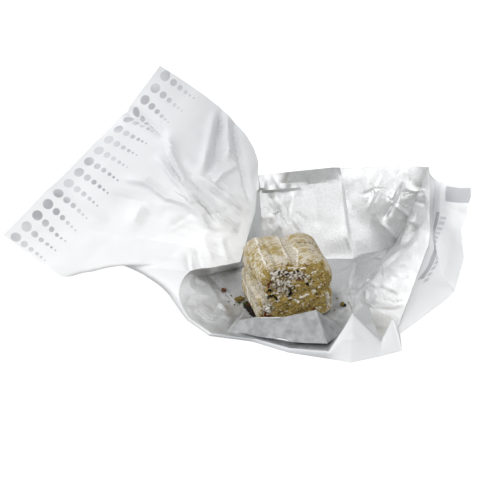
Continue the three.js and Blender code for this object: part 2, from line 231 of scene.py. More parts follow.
# How far a crease runs out beyond its ends, and the share of its length over which it rises.
CREASE_RUN_OUT = 4
CREASE_RISE = 0.2
# Ovals of the picture where the tray is crumpled more: their middle, their half sizes and how much.
CRUMPLED_PARTS = ((409, 212, 25, 44, 0.1), (279, 210, 20, 30, 0.4), (212, 297, 32, 30, 0.5),
                  (368, 285, 34, 26, 0.15))
OVAL_EDGE = 0.6
# In the picture the fan is left of this column and the flap is right of it.
FAN_RIGHT = 262


def grid_value(i, j, k):
    """A repeatable number from 0 to 1 for each point of a whole-number grid."""
    seed = (i * 374761393 + j * 668265263 + k * 1274126177) & 0xFFFFFFFF
    seed = ((seed ^ (seed >> 13)) * 1274126177) & 0xFFFFFFFF
    return (seed ^ (seed >> 16)) / 4294967295


def facets(x, y, layer):
    """Flat facets with straight creases between them, from -1 to 1, as crumpled foil has."""
    skew_x = x + FACET_SKEW[0] * y
    skew_y = y + FACET_SKEW[1] * x
    i = np.floor(skew_x).astype(np.int64)
    j = np.floor(skew_y).astype(np.int64)
    part_x = skew_x - i
    part_y = skew_y - j
    turn = np.where(part_y > part_x, grid_value(i, j + 1, layer), grid_value(i + 1, j, layer))
    large = np.maximum(part_x, part_y)
    small = np.minimum(part_x, part_y)
    low = grid_value(i, j, layer)
    high = grid_value(i + 1, j + 1, layer)
    return 2 * ((1 - large) * low + (large - small) * turn + small * high) - 1


def smoothstep(x, low, high):
    t = np.clip((x - low) / (high - low), 0, 1)
    return t * t * (3 - 2 * t)


def pad_edge(angle):
    """The edge of the flat pad under the truffle, from the truffle's middle towards an angle."""
    across = np.abs(np.cos(angle - TRUFFLE_YAW)) / (TRUFFLE_WIDTH / 2 + PAD_MARGIN)
    along = np.abs(np.sin(angle - TRUFFLE_YAW)) / (TRUFFLE_DEPTH / 2 + PAD_MARGIN)
    reach = (across ** PAD_SQUARENESS + along ** PAD_SQUARENESS) ** (-1 / PAD_SQUARENESS)
    x = TRUFFLE_PLACE[0] + reach * np.cos(angle)
    y = TRUFFLE_PLACE[1] + reach * np.sin(angle)
    return np.stack([x, y, np.full_like(reach, PAD_HEIGHT)], axis=-1)


def bow(start, middle, end, t):
    """The curve from start to end that passes through middle half way."""
    pull = 2 * middle - 0.5 * start - 0.5 * end
    return (1 - t) ** 2 * start + 2 * t * (1 - t) * pull + t * t * end


# A fold that ends at its crest has its middle and outer points there too.
fold_points = [fold if len(fold) == 4 else fold + (fold[1], fold[1]) for fold in FOLDS]
fold_foot, fold_crest, fold_middle, fold_outer = np.array(fold_points, float).transpose(1, 0, 2)
fold_angle = np.arctan2(fold_foot[:, 1] - TRUFFLE_PLACE[1], fold_foot[:, 0] - TRUFFLE_PLACE[0])
fold_ridge = (pad_edge(fold_angle) + fold_foot) / 2
fold_ridge[list(RIDGES)] = list(RIDGES.values())
fold_waist = (fold_foot + fold_crest) / 2
fold_waist[list(WAISTS)] = list(WAISTS.values())
fold_brim = fold_ridge + BRIM_PART * (fold_foot - fold_ridge)
fold_brim[list(BRIMS)] = list(BRIMS.values())

column_fold = []
column_part = []
for number in range(len(FOLDS)):
    crest_width = np.linalg.norm(fold_crest[(number + 1) % len(FOLDS)] - fold_crest[number])
    outer_width = np.linalg.norm(fold_outer[(number + 1) % len(FOLDS)] - fold_outer[number])
    steps = max(LEAST_STEPS, round(max(crest_width, OUTER_STEP_SHARE * outer_width) / STEP_LENGTH))
    column_fold += [number] * steps
    column_part += [step / steps for step in range(steps)]
column_fold = np.array(column_fold)
column_part = np.array(column_part)
column_next = (column_fold + 1) % len(FOLDS)


def between(values):
    """Values for each column of the sheet, straight from fold to fold or rounded where it curls."""
    share = column_part[:, None]
    curls = ((column_fold >= CURL_FROM) & (column_fold < CURL_TO))[:, None]
    here, ahead = values[column_fold], values[column_next]
    leaving = (ahead - values[column_fold - 1]) / 2
    arriving = (values[(column_fold + 2) % len(FOLDS)] - here) / 2
    blend = share * share * (3 - 2 * share)
    rounding = share * (1 - share) * ((1 - share) * leaving - share * arriving)
    straight = here + (ahead - here) * share
    return np.where(curls, here + (ahead - here) * blend + rounding, straight)


fold_lines = (fold_ridge, fold_brim, fold_foot, fold_waist, fold_crest, fold_middle, fold_outer)
ridge, brim, foot, waist, crest, middle, outer = (between(line) for line in fold_lines)
sweep = (fold_angle[column_next] - fold_angle[column_fold]) % (2 * math.pi)
pad = pad_edge(fold_angle[column_fold] + column_part * sweep)
fan_across = (column_fold - FAN_FROM + column_part) / (FAN_TO - FAN_FROM)
in_fan = (fan_across >= 0) & (fan_across < 1)
wall_loose = np.clip(np.linalg.norm(crest - foot, axis=1) / LOOSE_LENGTH, 0, 1)
outer_loose = np.clip(np.linalg.norm(outer - crest, axis=1) / LOOSE_LENGTH, 0, 1) ** 2

rows = [pad + (ridge - pad) * row / PAD_ROWS for row in range(PAD_ROWS + 1)]
loose_rows = [np.zeros(len(pad))] * (PAD_ROWS + 1)
for row in range(1, FLOOR_ROWS + 1):
    part = row / FLOOR_ROWS
    if part <= BRIM_PART:
        rows.append(ridge + (brim - ridge) * part / BRIM_PART)
    else:
        rows.append(brim + (foot - brim) * (part - BRIM_PART) / (1 - BRIM_PART))
    loose_rows.append(np.full(len(pad), FLOOR_LOOSE))
for row in range(1, WALL_ROWS + 1):
    rows.append(bow(foot, waist, crest, row / WALL_ROWS))
    loose_rows.append(wall_loose * math.sin(math.pi * row / WALL_ROWS))
crest_row = len(rows) - 1
across_calm = np.sqrt(np.clip(np.sin(math.pi * np.clip(fan_across, 0, 1)), 0, 1))
for row in range(1, OUTER_ROWS + 1):
    part = row / OUTER_ROWS
    place = bow(crest, middle, outer, part)
    pleats = math.sin(math.pi * part) * across_calm
    pleats = pleats * facets(fan_across * PLEAT_COUNT, PLEAT_RUN * part, PLEAT_LAYER)
    place[:, 2] += np.where(in_fan, PLEAT_DEPTH * pleats, 0)
    rows.append(place)
    loose_rows.append(outer_loose * min(1, part * OUTER_LOOSENING))
grid = np.stack(rows, axis=1) + TO_FRAME
loose = np.stack(loose_rows, axis=1)
columns, row_count = loose.shape
here = np.arange(columns)
after = (here + 1) % columns


def strip(kept_columns, row):
    """The quads between one row of the sheet and the next, in some of its columns."""
    left = kept_columns * row_count + row
    right = after[kept_columns] * row_count + row
    return np.stack([left, left + 1, right + 1, right], axis=1)


# The back edge of the sheet is its crest, so there the rows beyond it are left out.
first_of_back = (column_fold == BACK_EDGE_FROM) & (column_part == 0)
ends_at_crest = (column_fold >= BACK_EDGE_FROM) & (column_fold < BACK_EDGE_TO) & ~first_of_back
goes_on = here[~ends_at_crest & ~ends_at_crest[after]]
inside_quads = np.concatenate([strip(here, row) for row in range(crest_row)])
outside_quads = np.concatenate([strip(goes_on, row) for row in range(crest_row, row_count - 1)])
sheet_quads = np.concatenate([inside_quads, outside_quads])
pad_fan = np.stack([np.full(columns, columns * row_count), here * row_count, after * row_count], axis=1)


TINY = 1e-9


def surface_normals(places, quad_list):
    """The direction out of the upper side of a sheet at each of its points."""
    normals = np.zeros_like(places)
    a, b, c, d = (places[quad_list[:, k]] for k in range(4))
    face = np.cross(c - a, d - b)
    for k in range(4):
        np.add.at(normals, quad_list[:, k], face)
    length = np.linalg.norm(normals, axis=1, keepdims=True)
    return np.where(length > TINY, normals / np.maximum(length, TINY), (0, 0, 1))


def line_gap(points, line):
    """How far points are from a line, on which side, how far along it, and the line's length."""
    line = np.array(line, float)
    lengths = np.maximum(np.linalg.norm(np.diff(line, axis=0), axis=1), TINY)
    nearest = np.full(len(points), np.inf)
    aside = np.zeros(len(points))
    along = np.zeros(len(points))
    for number, length in enumerate(lengths):
        run = (line[number + 1] - line[number]) / length
        away = points - line[number]
        travel = np.clip(away @ run, 0, length)
        gap = np.linalg.norm(away - travel[:, None] * run, axis=1)
        closer = gap < nearest
        nearest = np.where(closer, gap, nearest)
        aside = np.where(closer, away[:, 1] * run[0] - away[:, 0] * run[1], aside)
        along = np.where(closer, lengths[:number].sum() + travel, along)
    return nearest, aside, along, lengths.sum()


def crease_heights(pixels, creases, softness=0.0):
    """How far creases lift a sheet at points given by where they stand in the picture."""
    height = np.zeros(len(pixels))
    for lift, left, right, line in creases:
        gap, aside, along, length = line_gap(pixels, line)
        reach = np.clip(1 - gap / np.where(aside < 0, left, right), 0, 1)
        bump = reach * (1 - softness) + softness * reach * reach * (3 - 2 * reach)
        rise = CREASE_RISE * length
        ends = smoothstep(along, -CREASE_RUN_OUT, rise) * smoothstep(length - along, -CREASE_RUN_OUT, rise)
        height += lift * bump * ends
    return height


def strewn(count, seed, low, high, lengths, heights, widths, towards=None):
    """Small creases strewn over a part of the picture, turned any way or towards a point."""
    draw = np.random.default_rng(seed)
    made = []
    for _ in range(count):
        start = draw.uniform(low, high)
        turn = draw.uniform(0, 2 * math.pi)
        if towards:
            turn = math.atan2(towards[1] - start[1], towards[0] - start[0]) + draw.normal(0, TURN_SPREAD)
        end = start + draw.uniform(*lengths) * np.array([math.cos(turn), math.sin(turn)])
        lift = draw.uniform(*heights) * draw.choice((-1, 1))
        made.append((lift, draw.uniform(*widths), draw.uniform(*widths), (start, end)))
    return made


def lifted(pixels, creases, crinkles, softness=0.0, strength=1.0):
    """How far a part of the sheet is lifted by its creases and by small ones strewn over it."""
    lift = strength * crease_heights(pixels, creases, softness)
    for own_softness, *strewing in crinkles:
        lift += crease_heights(pixels, strewn(*strewing), own_softness)
    return lift


def patches(pixels, ovals):
    """How far inside the nearest of some ovals of the picture points are: 0 at an edge, 1 in the middle."""
    inside = np.full(len(pixels), -np.inf)
    for px, py, wide, tall in ovals:
        off = ((pixels[:, 0] - px) / wide) ** 2
        inside = np.maximum(inside, 1 - off - ((pixels[:, 1] - py) / tall) ** 2)
    return inside


places = np.concatenate([grid.reshape(-1, 3), [np.array([*TRUFFLE_PLACE, PAD_HEIGHT]) + TO_FRAME]])
smooth_places = places.copy()
pixels = picture(places)
slack = np.append(loose.reshape(-1), 0)
give = np.minimum(1, GIVE_RATE * slack)
is_outside = np.append(np.tile(np.arange(row_count) > crest_row, columns), False)
lift_direction = surface_normals(places, sheet_quads)
along = places[:, 0] + CRUMPLE_LEAN[0] * places[:, 2]
across = places[:, 1] + CRUMPLE_LEAN[1] * places[:, 2]
crumple = np.zeros(len(places))
for layer, (size, depth) in enumerate(CRUMPLES):
    crumple += depth * facets(along / size + CRUMPLE_SHIFT * layer, across / size, layer + 1)
tray_crumple = TRAY_CRUMPLE * slack
for *oval, amount in CRUMPLED_PARTS:
    tray_crumple += amount * give * smoothstep(patches(pixels, [oval]), 0, OVAL_EDGE)
tray_lift = lifted(pixels, TRAY_CREASES, TRAY_CRINKLES)
fan_lift = lifted(pixels, FAN_CREASES, FAN_CRINKLES, FAN_SOFTNESS, FAN_STRENGTH)
flap_lift = lifted(pixels, FLAP_CREASES, FLAP_CRINKLES, FLAP_SOFTNESS)
shown_lift = np.where(is_outside, np.where(pixels[:, 0] < FAN_RIGHT, fan_lift, flap_lift), tray_lift)
loose_lift = crumple * np.where(is_outside, slack, tray_crumple) + give * shown_lift
loose_lift += np.where(is_outside, 0, crease_heights(pixels, HEM_CREASES))
places += lift_direction * loose_lift[:, None]
places[:, 2] = np.maximum(places[:, 2], PAPER_THICKNESS / 2)
sheet_normals = surface_normals(places, sheet_quads)


def piece_of(name, corners, faces):
    """A new piece with smooth faces, from points in millimetres."""
    mesh = bpy.data.meshes.new(name)
    mesh.from_pydata((corners / MM_IN_METRE).tolist(), [], faces)
    mesh.polygons.foreach_set("use_smooth", np.ones(len(mesh.polygons), bool))
    made = bpy.data.objects.new(name, mesh)
    bpy.context.scene.collection.objects.link(made)
    return made


def shell(name, quad_list, low, high, sharp_fold):
    """A thin closed piece of the sheet between two heights above the sheet's middle."""
    used, flat_index = np.unique(np.concatenate([quad_list.ravel(), pad_fan.ravel()]), return_inverse=True)
    flat_index = flat_index.reshape(-1)
    top = flat_index[:quad_list.size].reshape(-1, 4)
    top_fan = flat_index[quad_list.size:].reshape(-1, 3)
    count = len(used)
    upper = places[used] + sheet_normals[used] * high
    lower = places[used] + sheet_normals[used] * low
    lower[:, 2] = np.maximum(lower[:, 2], 0)
    edges = [top[:, [k, (k + 1) % 4]] for k in range(4)] + [top_fan[:, [k, (k + 1) % 3]] for k in range(3)]
    edges = np.concatenate(edges)
    keys = edges[:, 0] * count + edges[:, 1]
    rim = edges[~np.isin(edges[:, 1] * count + edges[:, 0], keys)]
    rim_quads = np.stack([rim[:, 1], rim[:, 0], rim[:, 0] + count, rim[:, 1] + count], axis=1)
    faces = np.concatenate([top, top[:, ::-1] + count, rim_quads]).tolist()
    faces += np.concatenate([top_fan, top_fan[:, ::-1] + count]).tolist()
    made = piece_of(name, np.concatenate([upper, lower]), faces)
    made.data.set_sharp_from_angle(angle=sharp_fold)
    return made, np.concatenate([used, used])


def keep_values(made, name, values):
    """Stores a number or a vector for each point of a piece, for its material to read."""
    kind, field = ("FLOAT", "value") if values.ndim == 1 else ("FLOAT_VECTOR", "vector")
    stored = made.data.attributes.new(name, kind, "POINT")
    stored.data.foreach_set(field, np.ascontiguousarray(values, np.float32).ravel())


# How large a millimetre of the truffle is in the picture.
PIXELS_PER_MM = 3.59
# Sharp creases are pressed in over a share of their length, and fade out between two distances from them.
SHARP_CREASE_RISE = 0.25
CREASE_FADE = (1.2, 2.6)
NO_CREASE_NEAR = 99.0


def keep_creases(made, creases, points):
    """Stores how far each point of a piece is from the nearest sharp crease, and how high that is."""
    crease_gap = np.full(len(places), NO_CREASE_NEAR)
    crease_share = np.zeros(len(places))
    for height, *line in creases:
        gap, aside, along, length = line_gap(pixels, line)
        # The gap keeps its side, so that it passes 0 between points on the two sides of a crease.
        closer = gap < np.abs(crease_gap) * PIXELS_PER_MM
        crease_gap = np.where(closer, gap * np.sign(aside) / PIXELS_PER_MM, crease_gap)
        rise = SHARP_CREASE_RISE * length
        ends = smoothstep(along, 0, rise) * smoothstep(length - along, 0, rise)
        beside = 1 - smoothstep(gap / PIXELS_PER_MM, *CREASE_FADE)
        crease_share = np.where(closer, height * ends * beside, crease_share)
    keep_values(made, "crease_gap", crease_gap[points])
    keep_values(made, "crease_share", crease_share[points])


def to_points(values):
    """A value of each column of the sheet for all its points, with none for the middle of the pad."""
    return np.append(np.repeat(values, row_count), values.dtype.type(0))


half_paper = PAPER_THICKNESS / 2
paper, paper_points = shell("wrapper_paper", sheet_quads, -half_paper, half_paper, PAPER_SHARP_FOLD)
SHARP_FAN_SHARE = 0.7
SHARP_FLAP_SHARE = 0.3
sharp_lines = [(SHARP_FAN_SHARE * lift, *line) for lift, _, _, line in FAN_CREASES]
sharp_lines += [(SHARP_FLAP_SHARE * lift, *line) for lift, _, _, line in FLAP_CREASES]
keep_creases(paper, sharp_lines, paper_points)

# The dots are laid out on the flat sheet: how far along the dotted end edge, and how far in from it.
DOTTED_FOLDS = 2
UNPRINTED = -100.0
dot_folds = column_fold - FAN_FROM + column_part
dotted = np.flatnonzero((dot_folds >= 0) & (dot_folds <= DOTTED_FOLDS))
fan_points = np.flatnonzero(is_outside & to_points(in_fan))
inwards, _, edgewise, _ = line_gap(smooth_places[fan_points], outer[dotted] + TO_FRAME)
print_place = np.full((len(places), 3), UNPRINTED)
print_place[fan_points, 0] = edgewise
print_place[fan_points, 1] = inwards
keep_values(paper, "print_place", print_place[paper_points])
# The marks on the flap are laid out from its upper left corner in the picture.
FLAP_START = (400.0, 170.0)
on_flap = is_outside & (pixels[:, 0] > FLAP_START[0])
flap_place = np.where(on_flap[:, None], (pixels - FLAP_START) / PIXELS_PER_MM, UNPRINTED)
keep_values(paper, "flap_place", np.column_stack([flap_place, np.zeros(len(flap_place))])[paper_points])
# Painted shade: the paper is greyer where shade falls, high on the fan and over the front folds and the
# curl.
FAN_PAINTED_SHADE = 0.8
PLEAT_PAINTED_SHADE = 1.0
PEAK_PAINTED_SHADE = 0.6
PEAKS_FROM = 17
CURL_PAINTED_SHADE = 0.3
PAINTED_SHADE_HEIGHTS = (14, 34)
in_front_folds = (column_fold >= FRONT_FOLDS_FROM) & (column_fold < FRONT_FOLDS_TO)
in_curl = (column_fold >= CURL_FROM + 1) & (column_fold < CURL_TO)
front_painted_shade = np.where(column_fold < PEAKS_FROM, PLEAT_PAINTED_SHADE, PEAK_PAINTED_SHADE) * in_front_folds
painted_shade = to_points(np.where(in_fan, FAN_PAINTED_SHADE, front_painted_shade + CURL_PAINTED_SHADE * in_curl)) * is_outside
high_up = smoothstep(smooth_places[:, 2], *PAINTED_SHADE_HEIGHTS)
keep_values(paper, "painted_shade", (painted_shade * np.maximum(high_up, to_points(in_front_folds | in_curl)))[paper_points])
# Wrinkles run from the fan's neck outwards: how far across the fan, how far out along it, and where.
WRINKLED_PARTS = ((210, 206, 54, 46), (222, 248, 34, 26))
WRINKLED_EDGE = 0.8
fan_place = np.zeros((len(places), 3))
fan_place[:, 0] = to_points(np.where(in_fan, fan_across, 0))
fan_place[:-1, 1] = np.tile(np.clip((np.arange(row_count) - crest_row) / OUTER_ROWS, 0, 1), columns)
keep_values(paper, "fan_place", fan_place[paper_points])
gathered = to_points(in_fan) * is_outside * smoothstep(patches(pixels, WRINKLED_PARTS), 0, WRINKLED_EDGE)
keep_values(paper, "gathered", gathered[paper_points])


def add(tree, kind, inputs=None, **settings):
    """A new node with its settings, and a value or a link for each input that is given."""
    made = tree.nodes.new(kind)
    for name, value in settings.items():
        setattr(made, name, value)
    for name, value in (inputs or {}).items():
        if isinstance(value, bpy.types.NodeSocket):
            tree.links.new(value, made.inputs[name])
        else:
            made.inputs[name].default_value = value
    return made


def sums(tree, operation, *values):
    """The result of one step of arithmetic on values or links."""
    return add(tree, "ShaderNodeMath", dict(enumerate(values)), operation=operation).outputs[0]


def times(tree, first, second):
    return sums(tree, "MULTIPLY", first, second)


def ranged(tree, value, low, high, to_low=0.0, to_high=1.0):
    """A value brought from one range to another and held within it."""
    return add(tree, "ShaderNodeMapRange", {0: value, 1: low, 2: high, 3: to_low, 4: to_high}).outputs[0]


def mixed(tree, share, first, second):
    """One colour laid over another by a share from 0 to 1."""
    return add(tree, "ShaderNodeMix", {0: share, 6: first, 7: second}, data_type="RGBA").outputs[2]


def noise(tree, place, scale, detail, roughness=0.5):
    """Soft uneven values round a half."""
    inputs = {"Vector": place, "Scale": scale, "Detail": detail, "Roughness": roughness}
    return add(tree, "ShaderNodeTexNoise", inputs).outputs["Fac"]


def kept(tree, name, output="Fac"):
    """What keep_values stored for a piece's points."""
    return add(tree, "ShaderNodeAttribute", attribute_name=name).outputs[output]


def bumped(tree, height, strength, distance, normal=None):
    """A surface's normal with relief on it, over the normal of other relief if there is any."""
    inputs = {"Height": height, "Strength": strength, "Distance": distance}
    if normal is not None:
        inputs["Normal"] = normal
    return add(tree, "ShaderNodeBump", inputs).outputs["Normal"]


def material_of(made, name):
    """A new material on a piece, with its node tree and its main shader."""
    material = bpy.data.materials.new(name)
    material.use_nodes = True
    made.data.materials.clear()
    made.data.materials.append(material)
    return material.node_tree, material.node_tree.nodes["Principled BSDF"]


def group_of(name, inputs, outputs):
    """A new node group with the nodes that bring its inputs in and take its outputs out."""
    tree = bpy.data.node_groups.new(name, "ShaderNodeTree")
    for socket in inputs:
        tree.interface.new_socket(socket, in_out="INPUT", socket_type="NodeSocketFloat")
    for socket, kind in outputs.items():
        tree.interface.new_socket(socket, in_out="OUTPUT", socket_type=kind)
    return tree, tree.nodes.new("NodeGroupInput").outputs, tree.nodes.new("NodeGroupOutput").inputs


# A sheet's fine crinkles, which the paper and its lining share.
MOTTLE_FINENESS = 4.0
MOTTLE_DETAIL = 4.0
crinkle, crinkle_in, crinkle_out = group_of("fine_crinkle", ("Scale",), {
    "Height": "NodeSocketFloat", "Mottle": "NodeSocketFloat"})
crinkle_place = crinkle.nodes.new("ShaderNodeTexCoord").outputs["Object"]
cells = add(crinkle, "ShaderNodeTexVoronoi", {"Vector": crinkle_place, "Scale": crinkle_in["Scale"]},
            feature="DISTANCE_TO_EDGE")
mottle_scale = times(crinkle, crinkle_in["Scale"], MOTTLE_FINENESS)
mottle = noise(crinkle, crinkle_place, mottle_scale, MOTTLE_DETAIL)
crinkle.links.new(cells.outputs["Distance"], crinkle_out["Height"])
crinkle.links.new(mottle, crinkle_out["Mottle"])

# Small flat facets of crumpled sheet, each tilted its own way, in two sizes, which both layers share.
FACET_SIZES = ((1.0, 1.0), (2.3, 0.6))
MEAN_TILT = (0.5, 0.5, 0.5)
facet, facet_in, facet_out = group_of("small_facets", ("Scale", "Amount"), {"Normal": "NodeSocketVector"})
facet_place = facet.nodes.new("ShaderNodeTexCoord").outputs["Object"]
facet_normal = facet.nodes.new("ShaderNodeNewGeometry").outputs["Normal"]
for fineness, share in FACET_SIZES:
    facet_scale = times(facet, facet_in["Scale"], fineness)
    facet_cell = add(facet, "ShaderNodeTexVoronoi", {"Vector": facet_place, "Scale": facet_scale})
    tilt = add(facet, "ShaderNodeVectorMath", {0: facet_cell.outputs["Color"], 1: MEAN_TILT},
               operation="SUBTRACT").outputs[0]
    amount = times(facet, facet_in["Amount"], share)
    tilt = add(facet, "ShaderNodeVectorMath", {0: tilt, "Scale": amount}, operation="SCALE").outputs[0]
    facet_normal = add(facet, "ShaderNodeVectorMath", {0: facet_normal, 1: tilt}).outputs[0]
facet_normal = add(facet, "ShaderNodeVectorMath", {0: facet_normal}, operation="NORMALIZE").outputs[0]
facet.links.new(facet_normal, facet_out["Normal"])

# Sharp creases of the sheet, which both layers share.
CREASE_HALF_WIDTH = 0.9
sharp_crease, _, crease_out = group_of("sharp_crease", (), {"Height": "NodeSocketFloat"})
crease_away = sums(sharp_crease, "ABSOLUTE", kept(sharp_crease, "crease_gap"))
nearness = ranged(sharp_crease, crease_away, CREASE_HALF_WIDTH, 0.0)
crease_height = times(sharp_crease, nearness, kept(sharp_crease, "crease_share"))
sharp_crease.links.new(crease_height, crease_out["Height"])

PAPER_WHITE = (0.935, 0.943, 0.952, 1)
# A greyer paper white that is painted shade, laid on where the sheet stands free.
PAPER_PAINTED_SHADE = (0.68, 0.696, 0.714, 1)
PRINT_AND_SHADOW_GREY = (0.42, 0.42, 0.45, 1)
# Rows of dots: how far apart, where the first is, how many, and each dot's distance in and radius.
DOT_PITCH = 4.5
DOT_START = 1.5
DOT_ROWS = 16
DOTS = ((3.0, 1.45), (6.1, 1.0), (8.5, 0.75), (10.6, 0.57), (12.1, 0.4), (13.5, 0.29))
DOT_BLUR = 0.08
HALF_ROW = 0.5
# Worn print is uneven: the fineness and detail of that, and two levels with how much print they keep.
WEAR_NOISE = (0.11, 1.0)
WEAR_LEVELS = (0.38, 0.62, 0.45, 1.0)
# A grey block near the flap's corner and a line of short bars that slant down it, which are print, and a
# stripe that slants beside them, painted shadow of the foil's edge: the middle and half sizes of each, and
# how strong it is.
FLAP_BLOCK = (17.0, 7.1, 2.8, 2.1)
BLOCK_INK = 0.75
FLAP_EDGE_SHADOW = (8.2, 21.5, 0.7, 9.0)
EDGE_SHADOW_INK = 0.75
FLAP_BARS = (9.9, 22.8, 0.6, 9.3)
BAR_INK = 0.5
BAR_PITCH = 1.45
BAR_SHARE = 0.32
BAR_MIDDLE = 0.5
FLAP_SLANT = -0.39
MARK_BLUR = 0.12
PAPER_ROUGHNESS = (0.45, 0.62)
PAPER_CRINKLE = 260
PAPER_FACETS = 150
PAPER_FACET_TILT = 0.16
WRINKLE_COUNTS = (20, 4.0, 0)
WRINKLE_NOISE = (1.0, 2.0)
NOISE_MEAN = 0.5
# Relief: its strength and its height in metres.
CRINKLE_RELIEF = (0.12, 0.0004)
WRINKLE_RELIEF = (0.8, 0.0012)
PAPER_CREASE_RELIEF = (1.0, 0.00028)


def within(tree, place, middle, half_size):
    """1 where a place is within half a size of a middle, with a soft edge, otherwise 0."""
    apart = sums(tree, "ABSOLUTE", sums(tree, "SUBTRACT", place, middle))
    return ranged(tree, apart, half_size + MARK_BLUR, half_size - MARK_BLUR)


def oblong(tree, x, y, mark):
    """A plain mark from its middle and half sizes, for the print and for the painted shadow stripe on the
    flap.
    """
    return times(tree, within(tree, x, mark[0], mark[2]), within(tree, y, mark[1], mark[3]))


tree, shader = material_of(paper, "white_paper")
layout = kept(tree, "print_place", "Vector")
flat = add(tree, "ShaderNodeSeparateXYZ", {0: layout}).outputs
row_place = sums(tree, "DIVIDE", sums(tree, "SUBTRACT", flat["X"], DOT_START), DOT_PITCH)
row_number = sums(tree, "ROUND", row_place)
from_row = times(tree, sums(tree, "SUBTRACT", row_place, row_number), DOT_PITCH)
print_and_edge_shadow = 0.0
for inset, radius in DOTS:
    from_dot = sums(tree, "SUBTRACT", flat["Y"], inset)
    apart = sums(tree, "ADD", times(tree, from_row, from_row), times(tree, from_dot, from_dot))
    dot = ranged(tree, sums(tree, "SQRT", apart), radius + DOT_BLUR, radius - DOT_BLUR)
    print_and_edge_shadow = sums(tree, "MAXIMUM", print_and_edge_shadow, dot)
in_rows = times(tree, sums(tree, "GREATER_THAN", row_number, -HALF_ROW),
                sums(tree, "LESS_THAN", row_number, DOT_ROWS - HALF_ROW))
worn = ranged(tree, noise(tree, layout, *WEAR_NOISE), *WEAR_LEVELS)
print_and_edge_shadow = times(tree, times(tree, print_and_edge_shadow, in_rows), worn)
flap = add(tree, "ShaderNodeSeparateXYZ", {0: kept(tree, "flap_place", "Vector")}).outputs
down_slant = times(tree, sums(tree, "SUBTRACT", flap["Y"], FLAP_BARS[1]), FLAP_SLANT)
slanted = sums(tree, "SUBTRACT", flap["X"], down_slant)
bar_step = sums(tree, "FRACT", sums(tree, "DIVIDE", flap["Y"], BAR_PITCH))
bars = within(tree, bar_step, BAR_MIDDLE, BAR_SHARE)
bars = times(tree, oblong(tree, slanted, flap["Y"], FLAP_BARS), bars)
# Painted shadow of the foil's edge on the flap, as a grey stripe.
edge_shadow = oblong(tree, slanted, flap["Y"], FLAP_EDGE_SHADOW)
block_mark = oblong(tree, flap["X"], flap["Y"], FLAP_BLOCK)
for mark, ink in ((edge_shadow, EDGE_SHADOW_INK), (block_mark, BLOCK_INK), (bars, BAR_INK)):
    print_and_edge_shadow = sums(tree, "MAXIMUM", print_and_edge_shadow, times(tree, mark, ink))
# Painted shade: the paper's white is greyed on the high fan, the front folds and the curl.
sheet_white = mixed(tree, kept(tree, "painted_shade"), PAPER_WHITE, PAPER_PAINTED_SHADE)
tree.links.new(mixed(tree, print_and_edge_shadow, sheet_white, PRINT_AND_SHADOW_GREY), shader.inputs["Base Color"])
paper_crinkle = add(tree, "ShaderNodeGroup", {"Scale": PAPER_CRINKLE}, node_tree=crinkle).outputs
paper_rough = ranged(tree, paper_crinkle["Mottle"], 0, 1, *PAPER_ROUGHNESS)
tree.links.new(paper_rough, shader.inputs["Roughness"])
shader.inputs["Specular IOR Level"].default_value = 0.35
gathering = kept(tree, "gathered")
laid = add(tree, "ShaderNodeVectorMath", {0: kept(tree, "fan_place", "Vector"), 1: WRINKLE_COUNTS},
           operation="MULTIPLY").outputs[0]
wrinkle = sums(tree, "SUBTRACT", noise(tree, laid, *WRINKLE_NOISE), NOISE_MEAN)
wrinkle = times(tree, sums(tree, "ABSOLUTE", wrinkle), gathering)
facet_tilt = times(tree, gathering, PAPER_FACET_TILT)
normal = add(tree, "ShaderNodeGroup", {"Scale": PAPER_FACETS, "Amount": facet_tilt},
             node_tree=facet).outputs["Normal"]
normal = bumped(tree, paper_crinkle["Height"], *CRINKLE_RELIEF, normal)
normal = bumped(tree, wrinkle, *WRINKLE_RELIEF, normal)
paper_crease = add(tree, "ShaderNodeGroup", node_tree=sharp_crease).outputs["Height"]
normal = bumped(tree, paper_crease, *PAPER_CREASE_RELIEF, normal)
tree.links.new(normal, shader.inputs["Normal"])
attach(paper, "root")
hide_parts("wrapper")

# The wrapper's lining. A skin of satin aluminium foil on the inner side of the paper, from the pad
# under the truffle up to the crest of the folds, pressed on so that it takes every crease of the paper.
FOIL_LOW = 0.06
FOIL_HIGH = 0.1
FOIL_SHARP_FOLD = math.radians(20)
FOIL_PALE = (0.765, 0.772, 0.776, 1)
FOIL_GREY = (0.69, 0.70, 0.707, 1)
# Two greys of painted shade for the foil, mottled between them, where shade falls on it.
FOIL_PAINTED_SHADE = (0.55, 0.557, 0.563, 1)
FOIL_PAINTED_SHADE_DEEP = (0.40, 0.407, 0.413, 1)
FOIL_MOTTLE = 420
FOIL_SHADE_MOTTLE = 110
MOTTLE_RANGE = (0.35, 0.65)
FOIL_ROUGHNESS = (0.46, 0.56)
FOIL_SHADE_ROUGHER = 0.25
FOIL_FACETS = 330
MOTTLE_RELIEF = (0.25, 0.0003)
FOIL_CREASE_RELIEF = (1.0, 0.0005)
# Ovals of the picture where it is crumpled into facets, with how much, and where shade is painted on it as
# darker foil.
FACETED_PARTS = ((409, 208, 28, 50, 0.24), (366, 215, 30, 55, 0.1), (280, 210, 26, 34, 0.16),
                 (212, 297, 34, 34, 0.18), (385, 285, 40, 34, 0.14), (352, 296, 14, 14, 0.35))
# Painted shade: the front pleat, and a shadow with a dark reflection beside the truffle's right foot.
FOIL_SHADE_PARTS = ((285, 328, 84, 32), (334, 305, 12, 18))
FOIL_SHADE_EDGE = 0.7
